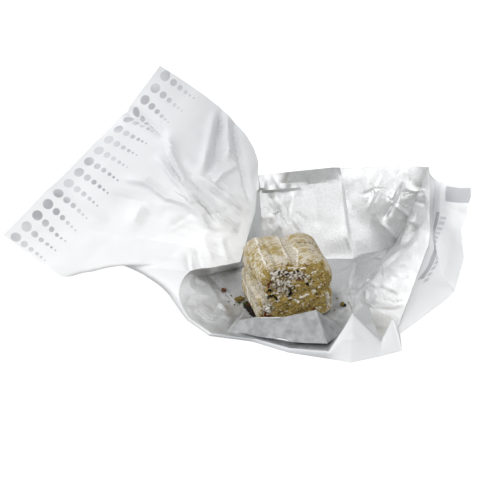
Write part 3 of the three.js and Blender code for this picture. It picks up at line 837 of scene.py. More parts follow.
# Sharp creases of the foil alone: height, from -1 for a groove to 1 for a ridge, and a line of the picture.
SHARP_CREASES = (
    (-1.0, (403, 181), (393, 203), (381, 222)), (0.8, (380, 221), (392, 233), (404, 247)),
    (-1.0, (423, 221), (402, 247)), (0.7, (418, 219), (399, 245)),
    (0.6, (392, 203), (404, 212), (418, 224)),
    (0.6, (404, 188), (414, 191), (428, 190)), (-0.5, (407, 199), (428, 205)),
    (1.0, (403, 248.5), (356, 291)), (0.8, (354, 259), (378, 254), (402, 248)),
    (0.5, (340, 168), (342, 200), (348, 240), (354, 258)), (-0.5, (354, 260), (349, 285)),
    (0.5, (294, 190), (292, 218), (302, 232)), (0.4, (266, 196), (276, 210), (280, 230)),
    (-0.25, (264, 214), (284, 212)), (0.6, (356, 292), (366, 303), (392, 307), (408, 303)),
    (-0.7, (334, 322), (346, 309), (357, 303)), (0.5, (372, 262), (404, 278)),
    (-0.4, (366, 282), (400, 296)),
    (0.7, (203, 272), (212, 292), (230, 318)), (-0.6, (209, 275), (224, 290), (236, 304)),
    (0.4, (192, 300), (212, 313), (236, 322)), (-0.4, (186, 306), (206, 322), (226, 328)),
    (0.4, (384, 172), (366, 214)), (-0.4, (362, 196), (378, 188)),
)
# Away from the back edge and the fan the lining reaches some rows over the crest.
FOIL_OVERLAP = 3
lined = np.flatnonzero((column_fold < BACK_EDGE_FROM) | (column_fold >= CURL_FROM + 2))
overlap_quads = [strip(lined, row) for row in range(crest_row, crest_row + FOIL_OVERLAP)]
foil_quads = np.concatenate([inside_quads] + overlap_quads)
foil, foil_points = shell("wrapper_foil", foil_quads, FOIL_LOW, FOIL_HIGH, FOIL_SHARP_FOLD)
crumpled = np.zeros(len(places))
for *oval, amount in FACETED_PARTS:
    crumpled = np.maximum(crumpled, amount * smoothstep(patches(pixels, [oval]), 0, OVAL_EDGE))
keep_values(foil, "crumpled", crumpled[foil_points])
keep_values(foil, "foil_shade", smoothstep(patches(pixels, FOIL_SHADE_PARTS), 0, FOIL_SHADE_EDGE)[foil_points])
keep_creases(foil, SHARP_CREASES, foil_points)

tree, shader = material_of(foil, "satin_foil")
foil_shade = kept(tree, "foil_shade")
satin = add(tree, "ShaderNodeGroup", {"Scale": FOIL_MOTTLE}, node_tree=crinkle).outputs["Mottle"]
foil_shade_mottle = add(tree, "ShaderNodeGroup", {"Scale": FOIL_SHADE_MOTTLE}, node_tree=crinkle).outputs["Mottle"]
foil_colour = mixed(tree, ranged(tree, satin, *MOTTLE_RANGE), FOIL_GREY, FOIL_PALE)
# Painted shade: darker, rougher foil where shade falls on it.
foil_shade_colour = mixed(tree, ranged(tree, foil_shade_mottle, *MOTTLE_RANGE), FOIL_PAINTED_SHADE_DEEP, FOIL_PAINTED_SHADE)
tree.links.new(mixed(tree, foil_shade, foil_colour, foil_shade_colour), shader.inputs["Base Color"])
foil_rough = ranged(tree, satin, 0, 1, *FOIL_ROUGHNESS)
foil_rough = sums(tree, "ADD", foil_rough, times(tree, foil_shade, FOIL_SHADE_ROUGHER))
tree.links.new(foil_rough, shader.inputs["Roughness"])
shader.inputs["Metallic"].default_value = 1.0
normal = add(tree, "ShaderNodeGroup", {"Scale": FOIL_FACETS, "Amount": kept(tree, "crumpled")},
             node_tree=facet).outputs["Normal"]
normal = bumped(tree, satin, *MOTTLE_RELIEF, normal)
foil_crease = add(tree, "ShaderNodeGroup", node_tree=sharp_crease).outputs["Height"]
normal = bumped(tree, foil_crease, *FOIL_CREASE_RELIEF, normal)
tree.links.new(normal, shader.inputs["Normal"])
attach(foil, "root")
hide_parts("wrapper")

# The truffle. A block of old white chocolate with a pale bloom on its top and sides, a pressed band
# over its top and a broken front with pits and flakes. It stands loose on the foil.
TRUFFLE_HEIGHT = 17.2
TRUFFLE_BASE = 0.55
TRUFFLE_STEPS = (126, 110, 110)
STEPS_CROWDED = 0.2
CORNER_ROUND = 3.2
BOTTOM_ROUND = 1.6
LEFT_TOP_ROUND = 4.4
RIGHT_TOP_ROUND = 6.0
CROWN = 0.25
# The groove round its waist, which is shallower in front, and the slab under it.
WAIST_HEIGHT = 8.2
WAIST_DEPTH = 1.15
WAIST_SPREAD = 0.7
FRONT_WAIST_LOSS = 0.75
SLAB_STEP = 0.25
# The trough of the band over the top, and the scored line left of it.
BAND_OFFSET = 0.6
BAND_FLAT = 1.25
BAND_WIDTH = 1.9
BAND_DEPTH = 0.6
SCORE_OFFSET = -5.2
SCORE_SPREAD = 0.6
SCORE_DEPTH = 0.45
# The broken front: sizes and depths of its crags, hollows, flakes and splinters. Shifts and layers keep
# what is uneven in one of them apart from the others.
CRAG_SIZE = 2.3
CRAG_DEPTH = 0.375
HOLLOW_SIZE = 1.25
HOLLOW_SHIFT = 7
HOLLOW_DEPTH = 0.45
HOLLOW_FROM = 0.25
FLAKE_SIZE = 1.5
FLAKE_LAYER = 1
FLAKE_DEPTH = 0.6
FLAKE_GAP_DEPTH = 0.25
SPLINTER_SIZE = 0.5
SPLINTER_LAYER = 4
SPLINTER_DEPTH = 0.28
SPLINTER_LAY = (1, 1, 1.4)
ROUGH_SIZE = 0.8
ROUGH_DEPTH = 0.22
PIT_DEPTH = 0.9
GROOVE_DEPTH = 0.35
RIB_HEIGHT = 0.15
# Shares of the direction out of the block at which its front, its top and its left face begin and are
# whole, and the heights at which it stands clear of the foil.
FRONT_TURN = (0.35, 0.85)
TOP_TURN = (0.45, 0.9)
LEFT_TURN = (0.3, 0.8)
CLEAR_HEIGHTS = (0.1, 1.2)
# The sides that the picture shows: the direction they face, and the share of it from which they count.
SHOWN_SIDE = np.array([-0.5, -1, 0.9])
SHOWN_TURN = (0.0, 0.2)
# Tears along the front's edge: depth and size, and the turn at which it begins and is whole.
TEARS = ((0.3, 1.2), (0.2, 0.5))
TORN_TURN = (0.5, 0.64)
# Flakes lie where a splinter's own number and how far inside a patch it is outweigh a mean.
FLAKY_INSIDE = 0.7
FLAKY_SCATTER = 1.7
FLAKY_MEAN = 0.62
CHIP_MEAN = 0.5
BESIDE_FLAKES = (0, 0.4)
FLAKE_GAP = (0.02, 0.12)
# How much shade is painted into the hollows beside the flakes.
HOLLOW_PAINTED_SHADE = 0.7
# The grain of the sides and the top, coarse and fine: its sizes, a shift and its depth.
SIDE_GRAINS = (((1.7, 5, 1.9), 3, 0.16), ((0.5, 1.5, 0.6), 0, 0.05))
# What shows on the block, by where it stands in the picture. Ovals have a middle and half sizes.
FLAKY_PATCHES = ((282, 285, 12, 9), (287, 276, 13, 6), (299, 275, 8, 5), (277, 272, 7, 4), (267, 309, 6, 6))
OLIVE_PATCHES = ((273, 250, 7, 5), (280.5, 254.5, 3.5, 4), (264, 247, 3, 3), (290, 238, 3, 1.4),
                 (295, 246.5, 2.5, 2), (253, 259, 2, 6), (300.5, 257.5, 3.5, 1.5), (313, 265.5, 5, 3),
                 (321, 264, 3, 4))
# Strokes have a half width and the points of a line. Their edges are ragged by some pixels, in lumps of a
# size in millimetres, and some of them are broken by larger lumps.
RAGGED = 1.3
RAGGED_SIZE = 0.5
RAGGED_SHIFT = 9
STROKE_EDGE = (0.6, 1.4)
OLIVE_EDGE = (-0.3, 0.6)
BREAK_SIZE = 0.9
BREAK_SHIFT = 5
BREAK_LEVELS = (-0.35, 0.05)
WHITE_STROKES = (
    (0.7, (276.8, 236), (280, 243), (283, 249), (287, 257)),
    (0.8, (292.3, 247.2), (296.8, 249.6), (297.8, 257.5), (297.2, 264.8)),
    (0.8, (255.3, 238.3), (257.3, 242.7), (258.7, 249.3), (261.5, 255.5), (263.9, 261), (265, 264.4)),
    (0.8, (241.6, 273.2), (243.6, 281.8), (247.6, 289.3), (249.3, 298.3), (251, 304.2), (253.4, 311),
     (255.5, 316)),
    (1.3, (273.3, 277.3), (276.3, 271.5)), (1.0, (278.5, 269.5), (280.5, 271.5)),
    (0.9, (310.8, 282.5), (309.5, 285.2)), (0.8, (304.8, 278.8), (306.8, 281.8)),
    (0.8, (296, 287), (299, 285.6)), (0.9, (299.5, 297.2), (307.5, 295)), (0.8, (294.5, 299), (299, 302.5)),
    (0.8, (289, 298.3), (291.5, 297)), (1.6, (266.5, 307.5), (269, 311.5)),
    (0.8, (312, 272.4), (316, 272.6)), (0.9, (327, 293), (329, 297)),
    (0.8, (319.4, 285.5), (319.6, 287.5)), (0.8, (312.5, 290.5), (314.5, 289.5)),
    (0.8, (319, 308.8), (320.5, 308)), (0.8, (278.7, 297), (278, 302)), (0.8, (266.5, 294.5), (267, 297.5)),
    (0.8, (289, 269), (297, 267.5)), (0.8, (301, 268.5), (305, 267.5)),
)
PALE_STROKES = (
    (4.2, (284.5, 239), (289, 248), (293.3, 259)),
    (3.4, (264, 259.5), (272, 258.5), (280, 258.5), (287, 261)),
    (4.2, (256.5, 284), (261, 292), (265, 300), (267, 306)),
    (3.2, (245, 273), (248.5, 283), (253, 296), (257.5, 309)),
    (2.2, (327.8, 295), (328.6, 305), (327.8, 317)),
)
# Grooves: cut into the block, and painted dark with shade in the material.
GROOVE_SHADE_STROKES = (
    (1.1, (249.4, 267.2), (252.2, 272.4), (253.9, 277.2), (256.3, 281.7), (259.4, 288.7)),
    (0.9, (279.4, 240), (283.2, 244.5)), (0.9, (258, 243.4), (260.8, 249.3)),
    (0.8, (265.6, 261), (266.8, 263.5)), (0.7, (244, 271.3), (244.4, 276.5)),
    (0.8, (249.4, 289.3), (251.6, 294.2), (254.6, 300.7), (257, 306.9)),
    (0.9, (313.7, 239.6), (319.2, 246.5), (323.3, 253.4), (326.4, 259.3)),
    (0.9, (315, 245), (317.3, 247.7)),
    (0.7, (297.5, 242.4), (307.8, 242.2), (313, 243.8)), (0.7, (304, 249.5), (309, 249), (314, 251)),
    (0.8, (271.8, 275.8), (274.6, 273)),
)
PITS = (
    (1.2, (268, 292.8), (269.7, 290.3), (272.2, 292.5)),
    (1.3, (268.3, 298.2), (270.4, 297), (273.2, 297.3), (275.6, 298), (277, 300)),
    (1.7, (290.6, 290.9), (291.3, 294.3), (289.4, 296.3)), (1.1, (306.1, 282.8), (308.5, 284.9)),
    (1.2, (303.3, 301.1)), (1.0, (316.6, 294.3)), (1.0, (287.5, 274.4)), (1.0, (285.8, 270.1)),
    (1.0, (298.2, 271.1)), (1.0, (294.4, 273)), (0.9, (279.4, 271.5), (279.4, 274.5)),
    (0.9, (303.3, 278.3)),
    (0.9, (302.3, 298)), (0.9, (297.2, 290.4)), (1.0, (286.8, 308.8)), (0.9, (284.4, 313.1)),
    (1.0, (275.3, 270.3)), (0.9, (311.4, 280.1)), (1.0, (327.1, 315.3)), (0.8, (294.7, 288.3)),
    (0.8, (285.8, 303.5)),
)
FLECKS = (
    (1.5, (269.6, 282.5), (268.6, 286.5)), (1.4, (297, 280.2), (299.8, 278.8)),
    (1.1, (265.3, 312), (264.9, 314.1), (267, 316.2), (269.7, 315.9)),
    (1.1, (283.2, 275.8)), (1.0, (295.1, 304.5)), (1.0, (309.5, 305.7)), (1.1, (313.2, 309)),
    (0.9, (314.2, 301.1)), (0.9, (317.5, 298)), (0.9, (269.7, 303.8)), (0.8, (282.5, 264.1)),
    (0.9, (287.7, 265.1)),
)


def lumps(x, y, z):
    """Smooth uneven relief from -1 to 1."""
    corner = [np.floor(v).astype(np.int64) for v in (x, y, z)]
    part = [v - c for v, c in zip((x, y, z), corner)]
    part = [t * t * (3 - 2 * t) for t in part]
    total = 0
    for bits in range(8):
        step = (bits & 1, bits >> 1 & 1, bits >> 2)
        weight = 1
        for t, s in zip(part, step):
            weight = weight * (t if s else 1 - t)
        total = total + weight * grid_value(*(c + s for c, s in zip(corner, step)))
    return 2 * total - 1


def chips(places, size, layer):
    """Broken flakes: each point's flake by its own number, how far inside that it is, and its middle."""
    scaled = places / size
    cell = np.floor(scaled).astype(np.int64)
    nearest = np.full(len(places), np.inf)
    second = np.full(len(places), np.inf)
    value = np.zeros(len(places))
    centre = np.zeros((len(places), 3))
    for step in range(27):
        corner = cell + (step % 3 - 1, step // 3 % 3 - 1, step // 9 - 1)
        i, j, k = corner.T
        # The whole numbers added here only keep the values of one cell apart.
        spot = corner + np.stack([grid_value(i + 17 * n, j + layer, k - 5 * n) for n in range(3)], axis=1)
        gap = np.linalg.norm(scaled - spot, axis=1)
        closer = gap < nearest
        second = np.where(closer, nearest, np.minimum(second, gap))
        value = np.where(closer, grid_value(i - 40, j + 9 * layer, k), value)
        centre = np.where(closer[:, None], spot * size, centre)
        nearest = np.where(closer, gap, nearest)
    return value, second - nearest, centre


def hump(distance, spread):
    return np.exp(-((distance / spread) ** 2))


def rounded(x, y, half_x, half_y, corner):
    """Points of a rectangle brought to its rounded corners, and the direction out of it there."""
    inner = np.stack([np.clip(x, corner - half_x, half_x - corner),
                      np.clip(y, corner - half_y, half_y - corner)], axis=-1)
    out = np.stack([x, y], axis=-1) - inner
    length = np.linalg.norm(out, axis=-1, keepdims=True)
    out = np.where(length > TINY, out / np.maximum(length, TINY), 0)
    return inner + out * np.reshape(corner, (-1, 1)), out


def box_grid(steps):
    """The points and quads of a box from -1 to 1 whose sides are split into steps."""
    found = []
    faces = []
    start = 0
    for axis in range(3):
        u_axis = (axis + 1) % 3
        v_axis = (axis + 2) % 3
        u, v = np.meshgrid(*(np.linspace(-1, 1, steps[k] + 1) for k in (u_axis, v_axis)), indexing="ij")
        for side in (-1, 1):
            points = np.empty(u.shape + (3,))
            points[..., axis] = side
            points[..., u_axis] = u
            points[..., v_axis] = v
            index = start + np.arange(u.size).reshape(u.shape)
            start += u.size
            square = [index[:-1, :-1], index[1:, :-1], index[1:, 1:], index[:-1, 1:]]
            if side < 0:
                square.reverse()
            faces.append(np.stack(square, axis=-1).reshape(-1, 4))
            found.append(points.reshape(-1, 3))
    single, index = np.unique(np.round(np.concatenate(found), 6), axis=0, return_inverse=True)
    return single, index.reshape(-1)[np.concatenate(faces)]


unit, truffle_quads = box_grid(TRUFFLE_STEPS)
unit = unit * (1 + STEPS_CROWDED - STEPS_CROWDED * unit * unit)
half = np.array([TRUFFLE_WIDTH, TRUFFLE_DEPTH, TRUFFLE_HEIGHT]) / 2
ring = np.maximum(np.abs(unit[:, 0]), np.abs(unit[:, 1]))
aim = np.where(ring[:, None] > 0, unit[:, :2] / np.maximum(ring, TINY)[:, None], (1, 0))
plan, plan_out = rounded(aim[:, 0] * half[0], aim[:, 1] * half[1], half[0], half[1], CORNER_ROUND)
reach = np.linalg.norm(plan, axis=1)
top_round = LEFT_TOP_ROUND + (RIGHT_TOP_ROUND - LEFT_TOP_ROUND) * (plan[:, 0] / half[0] + 1) / 2
edge_round = np.where(unit[:, 2] > 0, top_round, BOTTOM_ROUND)
profile, profile_out = rounded(ring * reach, unit[:, 2] * half[2], reach, half[2], edge_round)
local = np.column_stack([plan * (profile[:, 0] / reach)[:, None], profile[:, 1]])
out = np.column_stack([plan_out * profile_out[:, :1], profile_out[:, 1]])
height = local[:, 2] + half[2]
side = 1 - np.abs(out[:, 2])
front = smoothstep(-out[:, 1], *FRONT_TURN)
top = smoothstep(out[:, 2], *TOP_TURN)
standing = smoothstep(height, *CLEAR_HEIGHTS)
x, y, z = local.T


def lumps_of(size, shift=0):
    """The block's uneven relief with lumps of one size."""
    return lumps(x / size + shift, y / size, z / size)


def on_foil(places):
    """Places of the block brought to where it stands on the foil."""
    cos, sin = math.cos(TRUFFLE_YAW), math.sin(TRUFFLE_YAW)
    x, y, z = places.T
    stood = np.stack([x * cos - y * sin, x * sin + y * cos, z + half[2] + TRUFFLE_BASE], axis=1)
    return stood + np.append(TRUFFLE_PLACE, 0) + TO_FRAME


def strokes(pixels, listed):
    """A mask from 0 to 1 that is full along lines of the picture."""
    mask = np.zeros(len(pixels))
    for width, *line in listed:
        gap = line_gap(pixels, [line[0], *line])[0]
        mask = np.maximum(mask, 1 - smoothstep(gap / width, *STROKE_EDGE))
    return mask


relief = CROWN * top * (1 - (x / half[0]) ** 2)
waist_share = side * (1 - FRONT_WAIST_LOSS * front)
relief -= WAIST_DEPTH * waist_share * hump(height - WAIST_HEIGHT, WAIST_SPREAD)
relief += SLAB_STEP * waist_share * smoothstep(WAIST_HEIGHT - height, 0, 1)
relief -= BAND_DEPTH * top * (1 - smoothstep(np.abs(x - BAND_OFFSET), BAND_FLAT, BAND_WIDTH))
relief -= SCORE_DEPTH * top * hump(x - SCORE_OFFSET, SCORE_SPREAD)
hollows = np.clip(lumps_of(HOLLOW_SIZE, HOLLOW_SHIFT) - HOLLOW_FROM, 0, 1)
relief += front * standing * (CRAG_DEPTH * lumps_of(CRAG_SIZE) - HOLLOW_DEPTH * hollows)
grains = [depth * lumps(x / wide, y / deep + shift, z / tall) * standing * (1 - front)
          for (wide, deep, tall), shift, depth in SIDE_GRAINS]
relief += grains[0]
truffle_pixels = picture(on_foil(local + out * relief[:, None]))
stray = np.stack([lumps_of(RAGGED_SIZE), lumps_of(RAGGED_SIZE, RAGGED_SHIFT)], axis=1)
ragged = truffle_pixels + RAGGED * stray
gaps = smoothstep(lumps_of(BREAK_SIZE, BREAK_SHIFT), *BREAK_LEVELS)
facing = smoothstep(out @ SHOWN_SIDE, *SHOWN_TURN)
white = facing * np.maximum(gaps, np.maximum(top, front)) * strokes(ragged, WHITE_STROKES)
pale = facing * strokes(ragged, PALE_STROKES)
groove_shade = facing * gaps * strokes(ragged, GROOVE_SHADE_STROKES)
pits = facing * strokes(ragged, PITS)
flecks = facing * strokes(ragged, FLECKS)
olive = facing * smoothstep(patches(ragged, OLIVE_PATCHES), *OLIVE_EDGE)
flake, flake_inside, _ = chips(local, FLAKE_SIZE, FLAKE_LAYER)
splinter, _, splinter_middle = chips(local * SPLINTER_LAY, SPLINTER_SIZE, SPLINTER_LAYER)
in_patch = patches(picture(on_foil(splinter_middle / SPLINTER_LAY)), FLAKY_PATCHES)
flaky = front * standing * (FLAKY_INSIDE * in_patch + FLAKY_SCATTER * (splinter - FLAKY_MEAN) > 0)
hollow = front * standing * smoothstep(in_patch, *BESIDE_FLAKES) * (1 - flaky)
crevice = 1 - smoothstep(flake_inside, *FLAKE_GAP)
splinters = SPLINTER_DEPTH * (splinter - CHIP_MEAN)
relief += flaky * (FLAKE_DEPTH * (flake - CHIP_MEAN) + splinters - FLAKE_GAP_DEPTH * crevice)
relief += (front * standing - flaky) * (splinters + ROUGH_DEPTH * lumps_of(ROUGH_SIZE))
relief += grains[1]
relief += RIB_HEIGHT * white - GROOVE_DEPTH * (groove_shade + hollow) - PIT_DEPTH * pits
truffle = piece_of("white_truffle", on_foil(local + out * relief[:, None]), truffle_quads.tolist())

# The edge of the broken front is torn. Shade is painted darker into what is hollow between its flakes.
torn = sum(depth * lumps_of(size) for depth, size in TEARS)
broken = standing * smoothstep(-out[:, 1] + torn, *TORN_TURN)
painted_gap_shade = np.maximum(flaky * crevice, HOLLOW_PAINTED_SHADE * hollow)
left_face = smoothstep(-out[:, 0], *LEFT_TURN)
for name, values in (("block_place", local), ("splinter", splinter), ("broken", broken), ("flaky", flaky),
                     ("crevice", painted_gap_shade), ("over_top", top), ("white", white), ("pale", pale),
                     ("groove_shade", groove_shade), ("pits", pits), ("flecks", flecks), ("olive", olive),
                     ("left_face", left_face)):
    keep_values(truffle, name, values)

CHOCOLATE = (0.345, 0.258, 0.073, 1)
CHOCOLATE_GOLD = (0.34, 0.245, 0.07, 1)
CHOCOLATE_DEEP = (0.24, 0.163, 0.044, 1)
BLOOM = (0.555, 0.503, 0.405, 1)
BLOOM_PALE = (0.58, 0.54, 0.475, 1)
FLAKE_WHITE = (0.80, 0.765, 0.70, 1)
FLAKE_PALE = (0.60, 0.56, 0.50, 1)
FLAKE_GREY = (0.30, 0.262, 0.205, 1)
# Painted shade, for the crevices between flakes, the hollows and the grooves.
CREVICE_PAINTED_SHADE = (0.12, 0.085, 0.035, 1)
SPECK_BROWN = (0.11, 0.052, 0.02, 1)
# The near black of the pits is painted shade inside them.
PIT_PAINTED_SHADE = (0.010, 0.008, 0.006, 1)
FLECK_RED = (0.11, 0.028, 0.010, 1)
# Streaks run from side to side over the top and up and down the sides.
TOP_STREAKS = (0.4, 2.6, 2.6)
SIDE_STREAKS = (2.0, 2.0, 0.4)
# The bloom is made up of streaks, patches and grain by these shares, and shows between two levels of it.
# Round its mean level it is more uneven on the left face, and a little thinner.
BLOOM_SHARES = (0.5, 0.25, 0.25)
BLOOM_LEVELS = (0.41, 0.53)
BLOOM_MEAN = 0.485
LEFT_LOSS = 0.045
OLIVE_LOSS = 0.8
# Unevenness of the colours: fineness, detail and roughness.
STREAK_NOISE = (1.0, 5.0, 0.65)
PATCH_NOISE = (0.33, 2.0)
GRAIN_NOISE = (1.9, 3.0, 0.7)
CRUMBLY_NOISE = (1.15, 5.0, 0.7)
# Two levels between which a colour comes in, and for some how much of it there is at each.
BROWN_LINES = (0.47, 0.4, 0, 0.6)
PALE_LINES = (0.55, 0.6, 0, 0.9)
CRUMBLY_LEVELS = (0.36, 0.56)
GOLD_LEVELS = (0.45, 0.58)
FLAKE_LEVELS = (0.1, 0.6)
FLAKE_WHITE_LEVELS = (0.8, 0.95)
PALE_SPECKS = (0.86, 0.9, 0, 0.9)
BROWN_SPECKS = (0.15, 0.1, 0, 0.9)
PALE_GRAIN = (0.42, 0.58, 0.15, 1.0)
CREVICE_SHADE_SHARE = 0.8
# The last colours, by the mask that they follow and how much of them covers what is under them.
# Of these, the grooves and the pits are painted shade; the white and the red flecks are the block's own
# colours.
LAST_COLOURS = (("groove_shade", 0.6, CREVICE_PAINTED_SHADE), ("white", 0.85, FLAKE_WHITE), ("flecks", 1.0, FLECK_RED),
                ("pits", 1.0, PIT_PAINTED_SHADE))
STREAK_RELIEF = (0.35, 0.0004)

tree, shader = material_of(truffle, "white_chocolate")
block = kept(tree, "block_place", "Vector")
streak_places = [add(tree, "ShaderNodeVectorMath", {0: block, 1: run}, operation="MULTIPLY").outputs[0]
                 for run in (TOP_STREAKS, SIDE_STREAKS)]
top_streak, side_streak = (noise(tree, place, *STREAK_NOISE) for place in streak_places)
streak = add(tree, "ShaderNodeMix", {0: kept(tree, "over_top"), 2: side_streak, 3: top_streak}).outputs[0]
patchy = noise(tree, block, *PATCH_NOISE)
grain = noise(tree, block, *GRAIN_NOISE)
bloom = 0.0
for level, share in zip((streak, patchy, grain), BLOOM_SHARES):
    bloom = sums(tree, "ADD", bloom, times(tree, level, share))
on_left = kept(tree, "left_face")
uneven = times(tree, sums(tree, "SUBTRACT", bloom, BLOOM_MEAN), sums(tree, "ADD", on_left, 1.0))
bloom = sums(tree, "ADD", uneven, sums(tree, "SUBTRACT", BLOOM_MEAN, times(tree, on_left, LEFT_LOSS)))
bare = sums(tree, "SUBTRACT", 1.0, times(tree, kept(tree, "olive"), OLIVE_LOSS))
skin = mixed(tree, times(tree, ranged(tree, bloom, *BLOOM_LEVELS), bare), CHOCOLATE, BLOOM)
skin = mixed(tree, ranged(tree, streak, *BROWN_LINES), skin, CHOCOLATE_DEEP)
skin = mixed(tree, ranged(tree, streak, *PALE_LINES), skin, BLOOM_PALE)
crumbly = ranged(tree, noise(tree, block, *CRUMBLY_NOISE), *CRUMBLY_LEVELS)
golden = mixed(tree, ranged(tree, patchy, *GOLD_LEVELS), CHOCOLATE, CHOCOLATE_GOLD)
inner = mixed(tree, crumbly, CHOCOLATE_DEEP, golden)
chip = kept(tree, "splinter")
flakes = mixed(tree, ranged(tree, chip, *FLAKE_LEVELS), FLAKE_GREY, FLAKE_PALE)
flakes = mixed(tree, ranged(tree, chip, *FLAKE_WHITE_LEVELS), flakes, FLAKE_WHITE)
inner = mixed(tree, kept(tree, "flaky"), inner, flakes)
# Painted shade in the crevices between the flakes and the hollows beside them.
inner = mixed(tree, times(tree, kept(tree, "crevice"), CREVICE_SHADE_SHARE), inner, CREVICE_PAINTED_SHADE)
inner = mixed(tree, ranged(tree, chip, *PALE_SPECKS), inner, FLAKE_PALE)
inner = mixed(tree, ranged(tree, chip, *BROWN_SPECKS), inner, SPECK_BROWN)
colour = mixed(tree, kept(tree, "broken"), skin, inner)
pale_share = times(tree, kept(tree, "pale"), ranged(tree, grain, *PALE_GRAIN))
colour = mixed(tree, pale_share, colour, BLOOM_PALE)
for mask, share, tint in LAST_COLOURS:
    colour = mixed(tree, times(tree, kept(tree, mask), share), colour, tint)
tree.links.new(colour, shader.inputs["Base Color"])
tree.links.new(bumped(tree, streak, *STREAK_RELIEF), shader.inputs["Normal"])
shader.inputs["Roughness"].default_value = 0.7
shader.inputs["Specular IOR Level"].default_value = 0.2
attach(truffle, "root")
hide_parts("truffle")

# Crumbs. Bits broken off the truffle's front, olive brown to nearly black, of many shapes. They lie
# loose on the foil beside the truffle. A row of black ones along its left foot is painted shadow of its
# edge.
CRUMB_OLIVE = (0.17, 0.125, 0.03)
CRUMB_GREEN = (0.045, 0.06, 0.016)
CRUMB_RED = (0.10, 0.033, 0.014)
CRUMB_BLACK_AND_SHADOW = (0.012, 0.009, 0.006)
# Where each shows in the picture, its half size and its colour.
CRUMBS = (
    ((224, 291), 0.65, CRUMB_RED), ((222.5, 290.5), 0.4, CRUMB_OLIVE), ((237, 300.5), 0.8, CRUMB_OLIVE),
    ((240, 299.8), 0.85, CRUMB_OLIVE), ((243, 299.6), 0.6, CRUMB_OLIVE),
    ((239.4, 303.2), 0.45, CRUMB_GREEN), ((244.4, 305.4), 0.65, CRUMB_GREEN),
    ((246.4, 303.8), 0.55, CRUMB_GREEN), ((248.6, 306), 0.6, CRUMB_RED),
    # Black ones along the truffle's left foot, partly painted shadow: they stand in for the dark gap under
    # it.
    ((246.4, 307.8), 0.6, CRUMB_BLACK_AND_SHADOW), ((248.6, 309.6), 0.7, CRUMB_BLACK_AND_SHADOW),
    ((250.4, 311.8), 0.75, CRUMB_BLACK_AND_SHADOW), ((252, 313.8), 0.7, CRUMB_BLACK_AND_SHADOW),
    ((253.6, 315.6), 0.55, CRUMB_BLACK_AND_SHADOW), ((342.4, 305.2), 0.7, CRUMB_OLIVE),
    ((344.4, 306), 0.5, CRUMB_BLACK_AND_SHADOW), ((334.5, 310.5), 0.3, CRUMB_OLIVE), ((231, 296), 0.25, CRUMB_OLIVE),
    ((234.5, 305), 0.25, CRUMB_GREEN), ((337, 298.5), 0.22, CRUMB_OLIVE), ((228.5, 302), 0.2, CRUMB_BLACK_AND_SHADOW),
)
CRUMB_DRAW = 21
CRUMB_STRETCH = (0.7, 1.2)
CRUMB_FLATNESS = (1, 1, 0.75)
CRUMB_DENT = 0.22
CRUMB_RISE = 0.55
CRUMB_TINTS = (0.7, 1.35)
CRUMB_GRAIN = 2500.0
CRUMB_LIGHT = (0.3, 0.7, 0.6, 1.4)
foil_surface = BVHTree.FromPolygons([tuple(v.co) for v in foil.data.vertices],
                                    [tuple(face.vertices) for face in foil.data.polygons])
crumbs_mesh = bmesh.new()
crumb_tints = []
crumb_draw = np.random.default_rng(CRUMB_DRAW)
for (px, py), radius, tint in CRUMBS:
    aside = (px - PICTURE_SIDE / 2) * SENSOR / LENS / PICTURE_SIDE
    above = (PICTURE_SIDE / 2 - py) * SENSOR / LENS / PICTURE_SIDE
    sight = Vector(looking + above * upwards + aside * np.array([1, 0, 0])).normalized()
    spot = foil_surface.ray_cast(Vector(camera_place / MM_IN_METRE), sight)[0]
    spot = spot + Vector((0, 0, CRUMB_RISE * radius / MM_IN_METRE))
    lump = bmesh.ops.create_icosphere(crumbs_mesh, subdivisions=2, radius=1.0)["verts"]
    stretch = crumb_draw.uniform(*CRUMB_STRETCH, 3) * CRUMB_FLATNESS * radius / MM_IN_METRE
    for corner in lump:
        dent = 1 + CRUMB_DENT * crumb_draw.normal()
        corner.co = spot + Vector(np.array(corner.co) * stretch * dent)
        crumb_tints.append(np.array(tint) * crumb_draw.uniform(*CRUMB_TINTS))
crumbs_data = bpy.data.meshes.new("crumbs")
crumbs_mesh.to_mesh(crumbs_data)
crumbs_mesh.free()
crumbs = bpy.data.objects.new("crumbs", crumbs_data)
bpy.context.scene.collection.objects.link(crumbs)
keep_values(crumbs, "tint", np.array(crumb_tints))

tree, shader = material_of(crumbs, "chocolate_crumbs")
crumb_grain = add(tree, "ShaderNodeTexNoise", {"Scale": CRUMB_GRAIN, "Detail": 2.0}).outputs["Fac"]
crumb_light = ranged(tree, crumb_grain, *CRUMB_LIGHT)
crumb_colour = add(tree, "ShaderNodeVectorMath", {0: kept(tree, "tint", "Vector"), "Scale": crumb_light},
                   operation="SCALE").outputs[0]
tree.links.new(crumb_colour, shader.inputs["Base Color"])
shader.inputs["Roughness"].default_value = 0.75
shader.inputs["Specular IOR Level"].default_value = 0.2
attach(crumbs, "root")

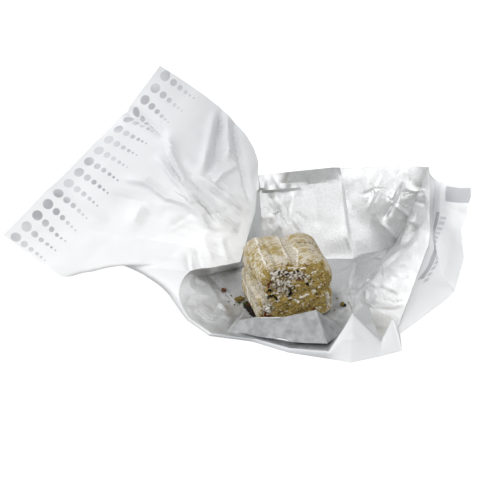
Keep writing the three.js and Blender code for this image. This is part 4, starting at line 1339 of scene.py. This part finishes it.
# The floor and the light. A plain white table in a dim white room, lit by soft boxes that stand round it,
# so that each side of the folded foil has something bright to reflect.
FLOOR_HALF = 1500
FLOOR_GREY = (0.4, 0.4, 0.4, 1)
FLOOR_GLOW = 0.8
ROOM_WHITE = (1, 1, 1, 1)
ROOM_LIGHT = 0.25
floor_corners = FLOOR_HALF * np.array([(-1, -1, 0), (1, -1, 0), (1, 1, 0), (-1, 1, 0)])
floor = piece_of("floor", floor_corners, [(0, 1, 2, 3)])
tree, shader = material_of(floor, "white_floor")
shader.inputs["Base Color"].default_value = FLOOR_GREY
shader.inputs["Roughness"].default_value = 0.9
shader.inputs["Specular IOR Level"].default_value = 0.0
shader.inputs["Emission Color"].default_value = ROOM_WHITE
seen = tree.nodes.new("ShaderNodeLightPath").outputs["Is Camera Ray"]
tree.links.new(times(tree, seen, FLOOR_GLOW), shader.inputs["Emission Strength"])

world = bpy.data.worlds.new("studio")
world.use_nodes = True
world.node_tree.nodes["Background"].inputs["Color"].default_value = ROOM_WHITE
world.node_tree.nodes["Background"].inputs["Strength"].default_value = ROOM_LIGHT
bpy.context.scene.world = world

# Soft boxes round the table: degrees to the right of the camera, degrees up and power in watts. Their
# distance and width are in metres.
SOFT_BOXES = ((-60, 27, 2.7), (30, 27, 2.2), (-150, 27, 3.1), (-120, 27, 2.65), (-45, 62, 2.0),
              (0, 62, 1.8), (-45, 15, 0.8), (135, 38, 1.5), (75, 27, 0.5))
BOX_DISTANCE = 1.0
BOX_WIDTH = 0.55
for azimuth, elevation, power in SOFT_BOXES:
    turn, rise = math.radians(azimuth), math.radians(elevation)
    out_along = Vector((math.cos(rise) * math.sin(turn), -math.cos(rise) * math.cos(turn), math.sin(rise)))
    light = bpy.data.lights.new("soft_box", "AREA")
    light.shape = "SQUARE"
    light.size = BOX_WIDTH
    light.energy = power
    soft_box = bpy.data.objects.new("soft_box", light)
    soft_box.location = BOX_DISTANCE * out_along
    soft_box.rotation_euler = out_along.to_track_quat("Z", "Y").to_euler()
    bpy.context.scene.collection.objects.link(soft_box)
bpy.context.scene.view_settings.view_transform = "Standard"
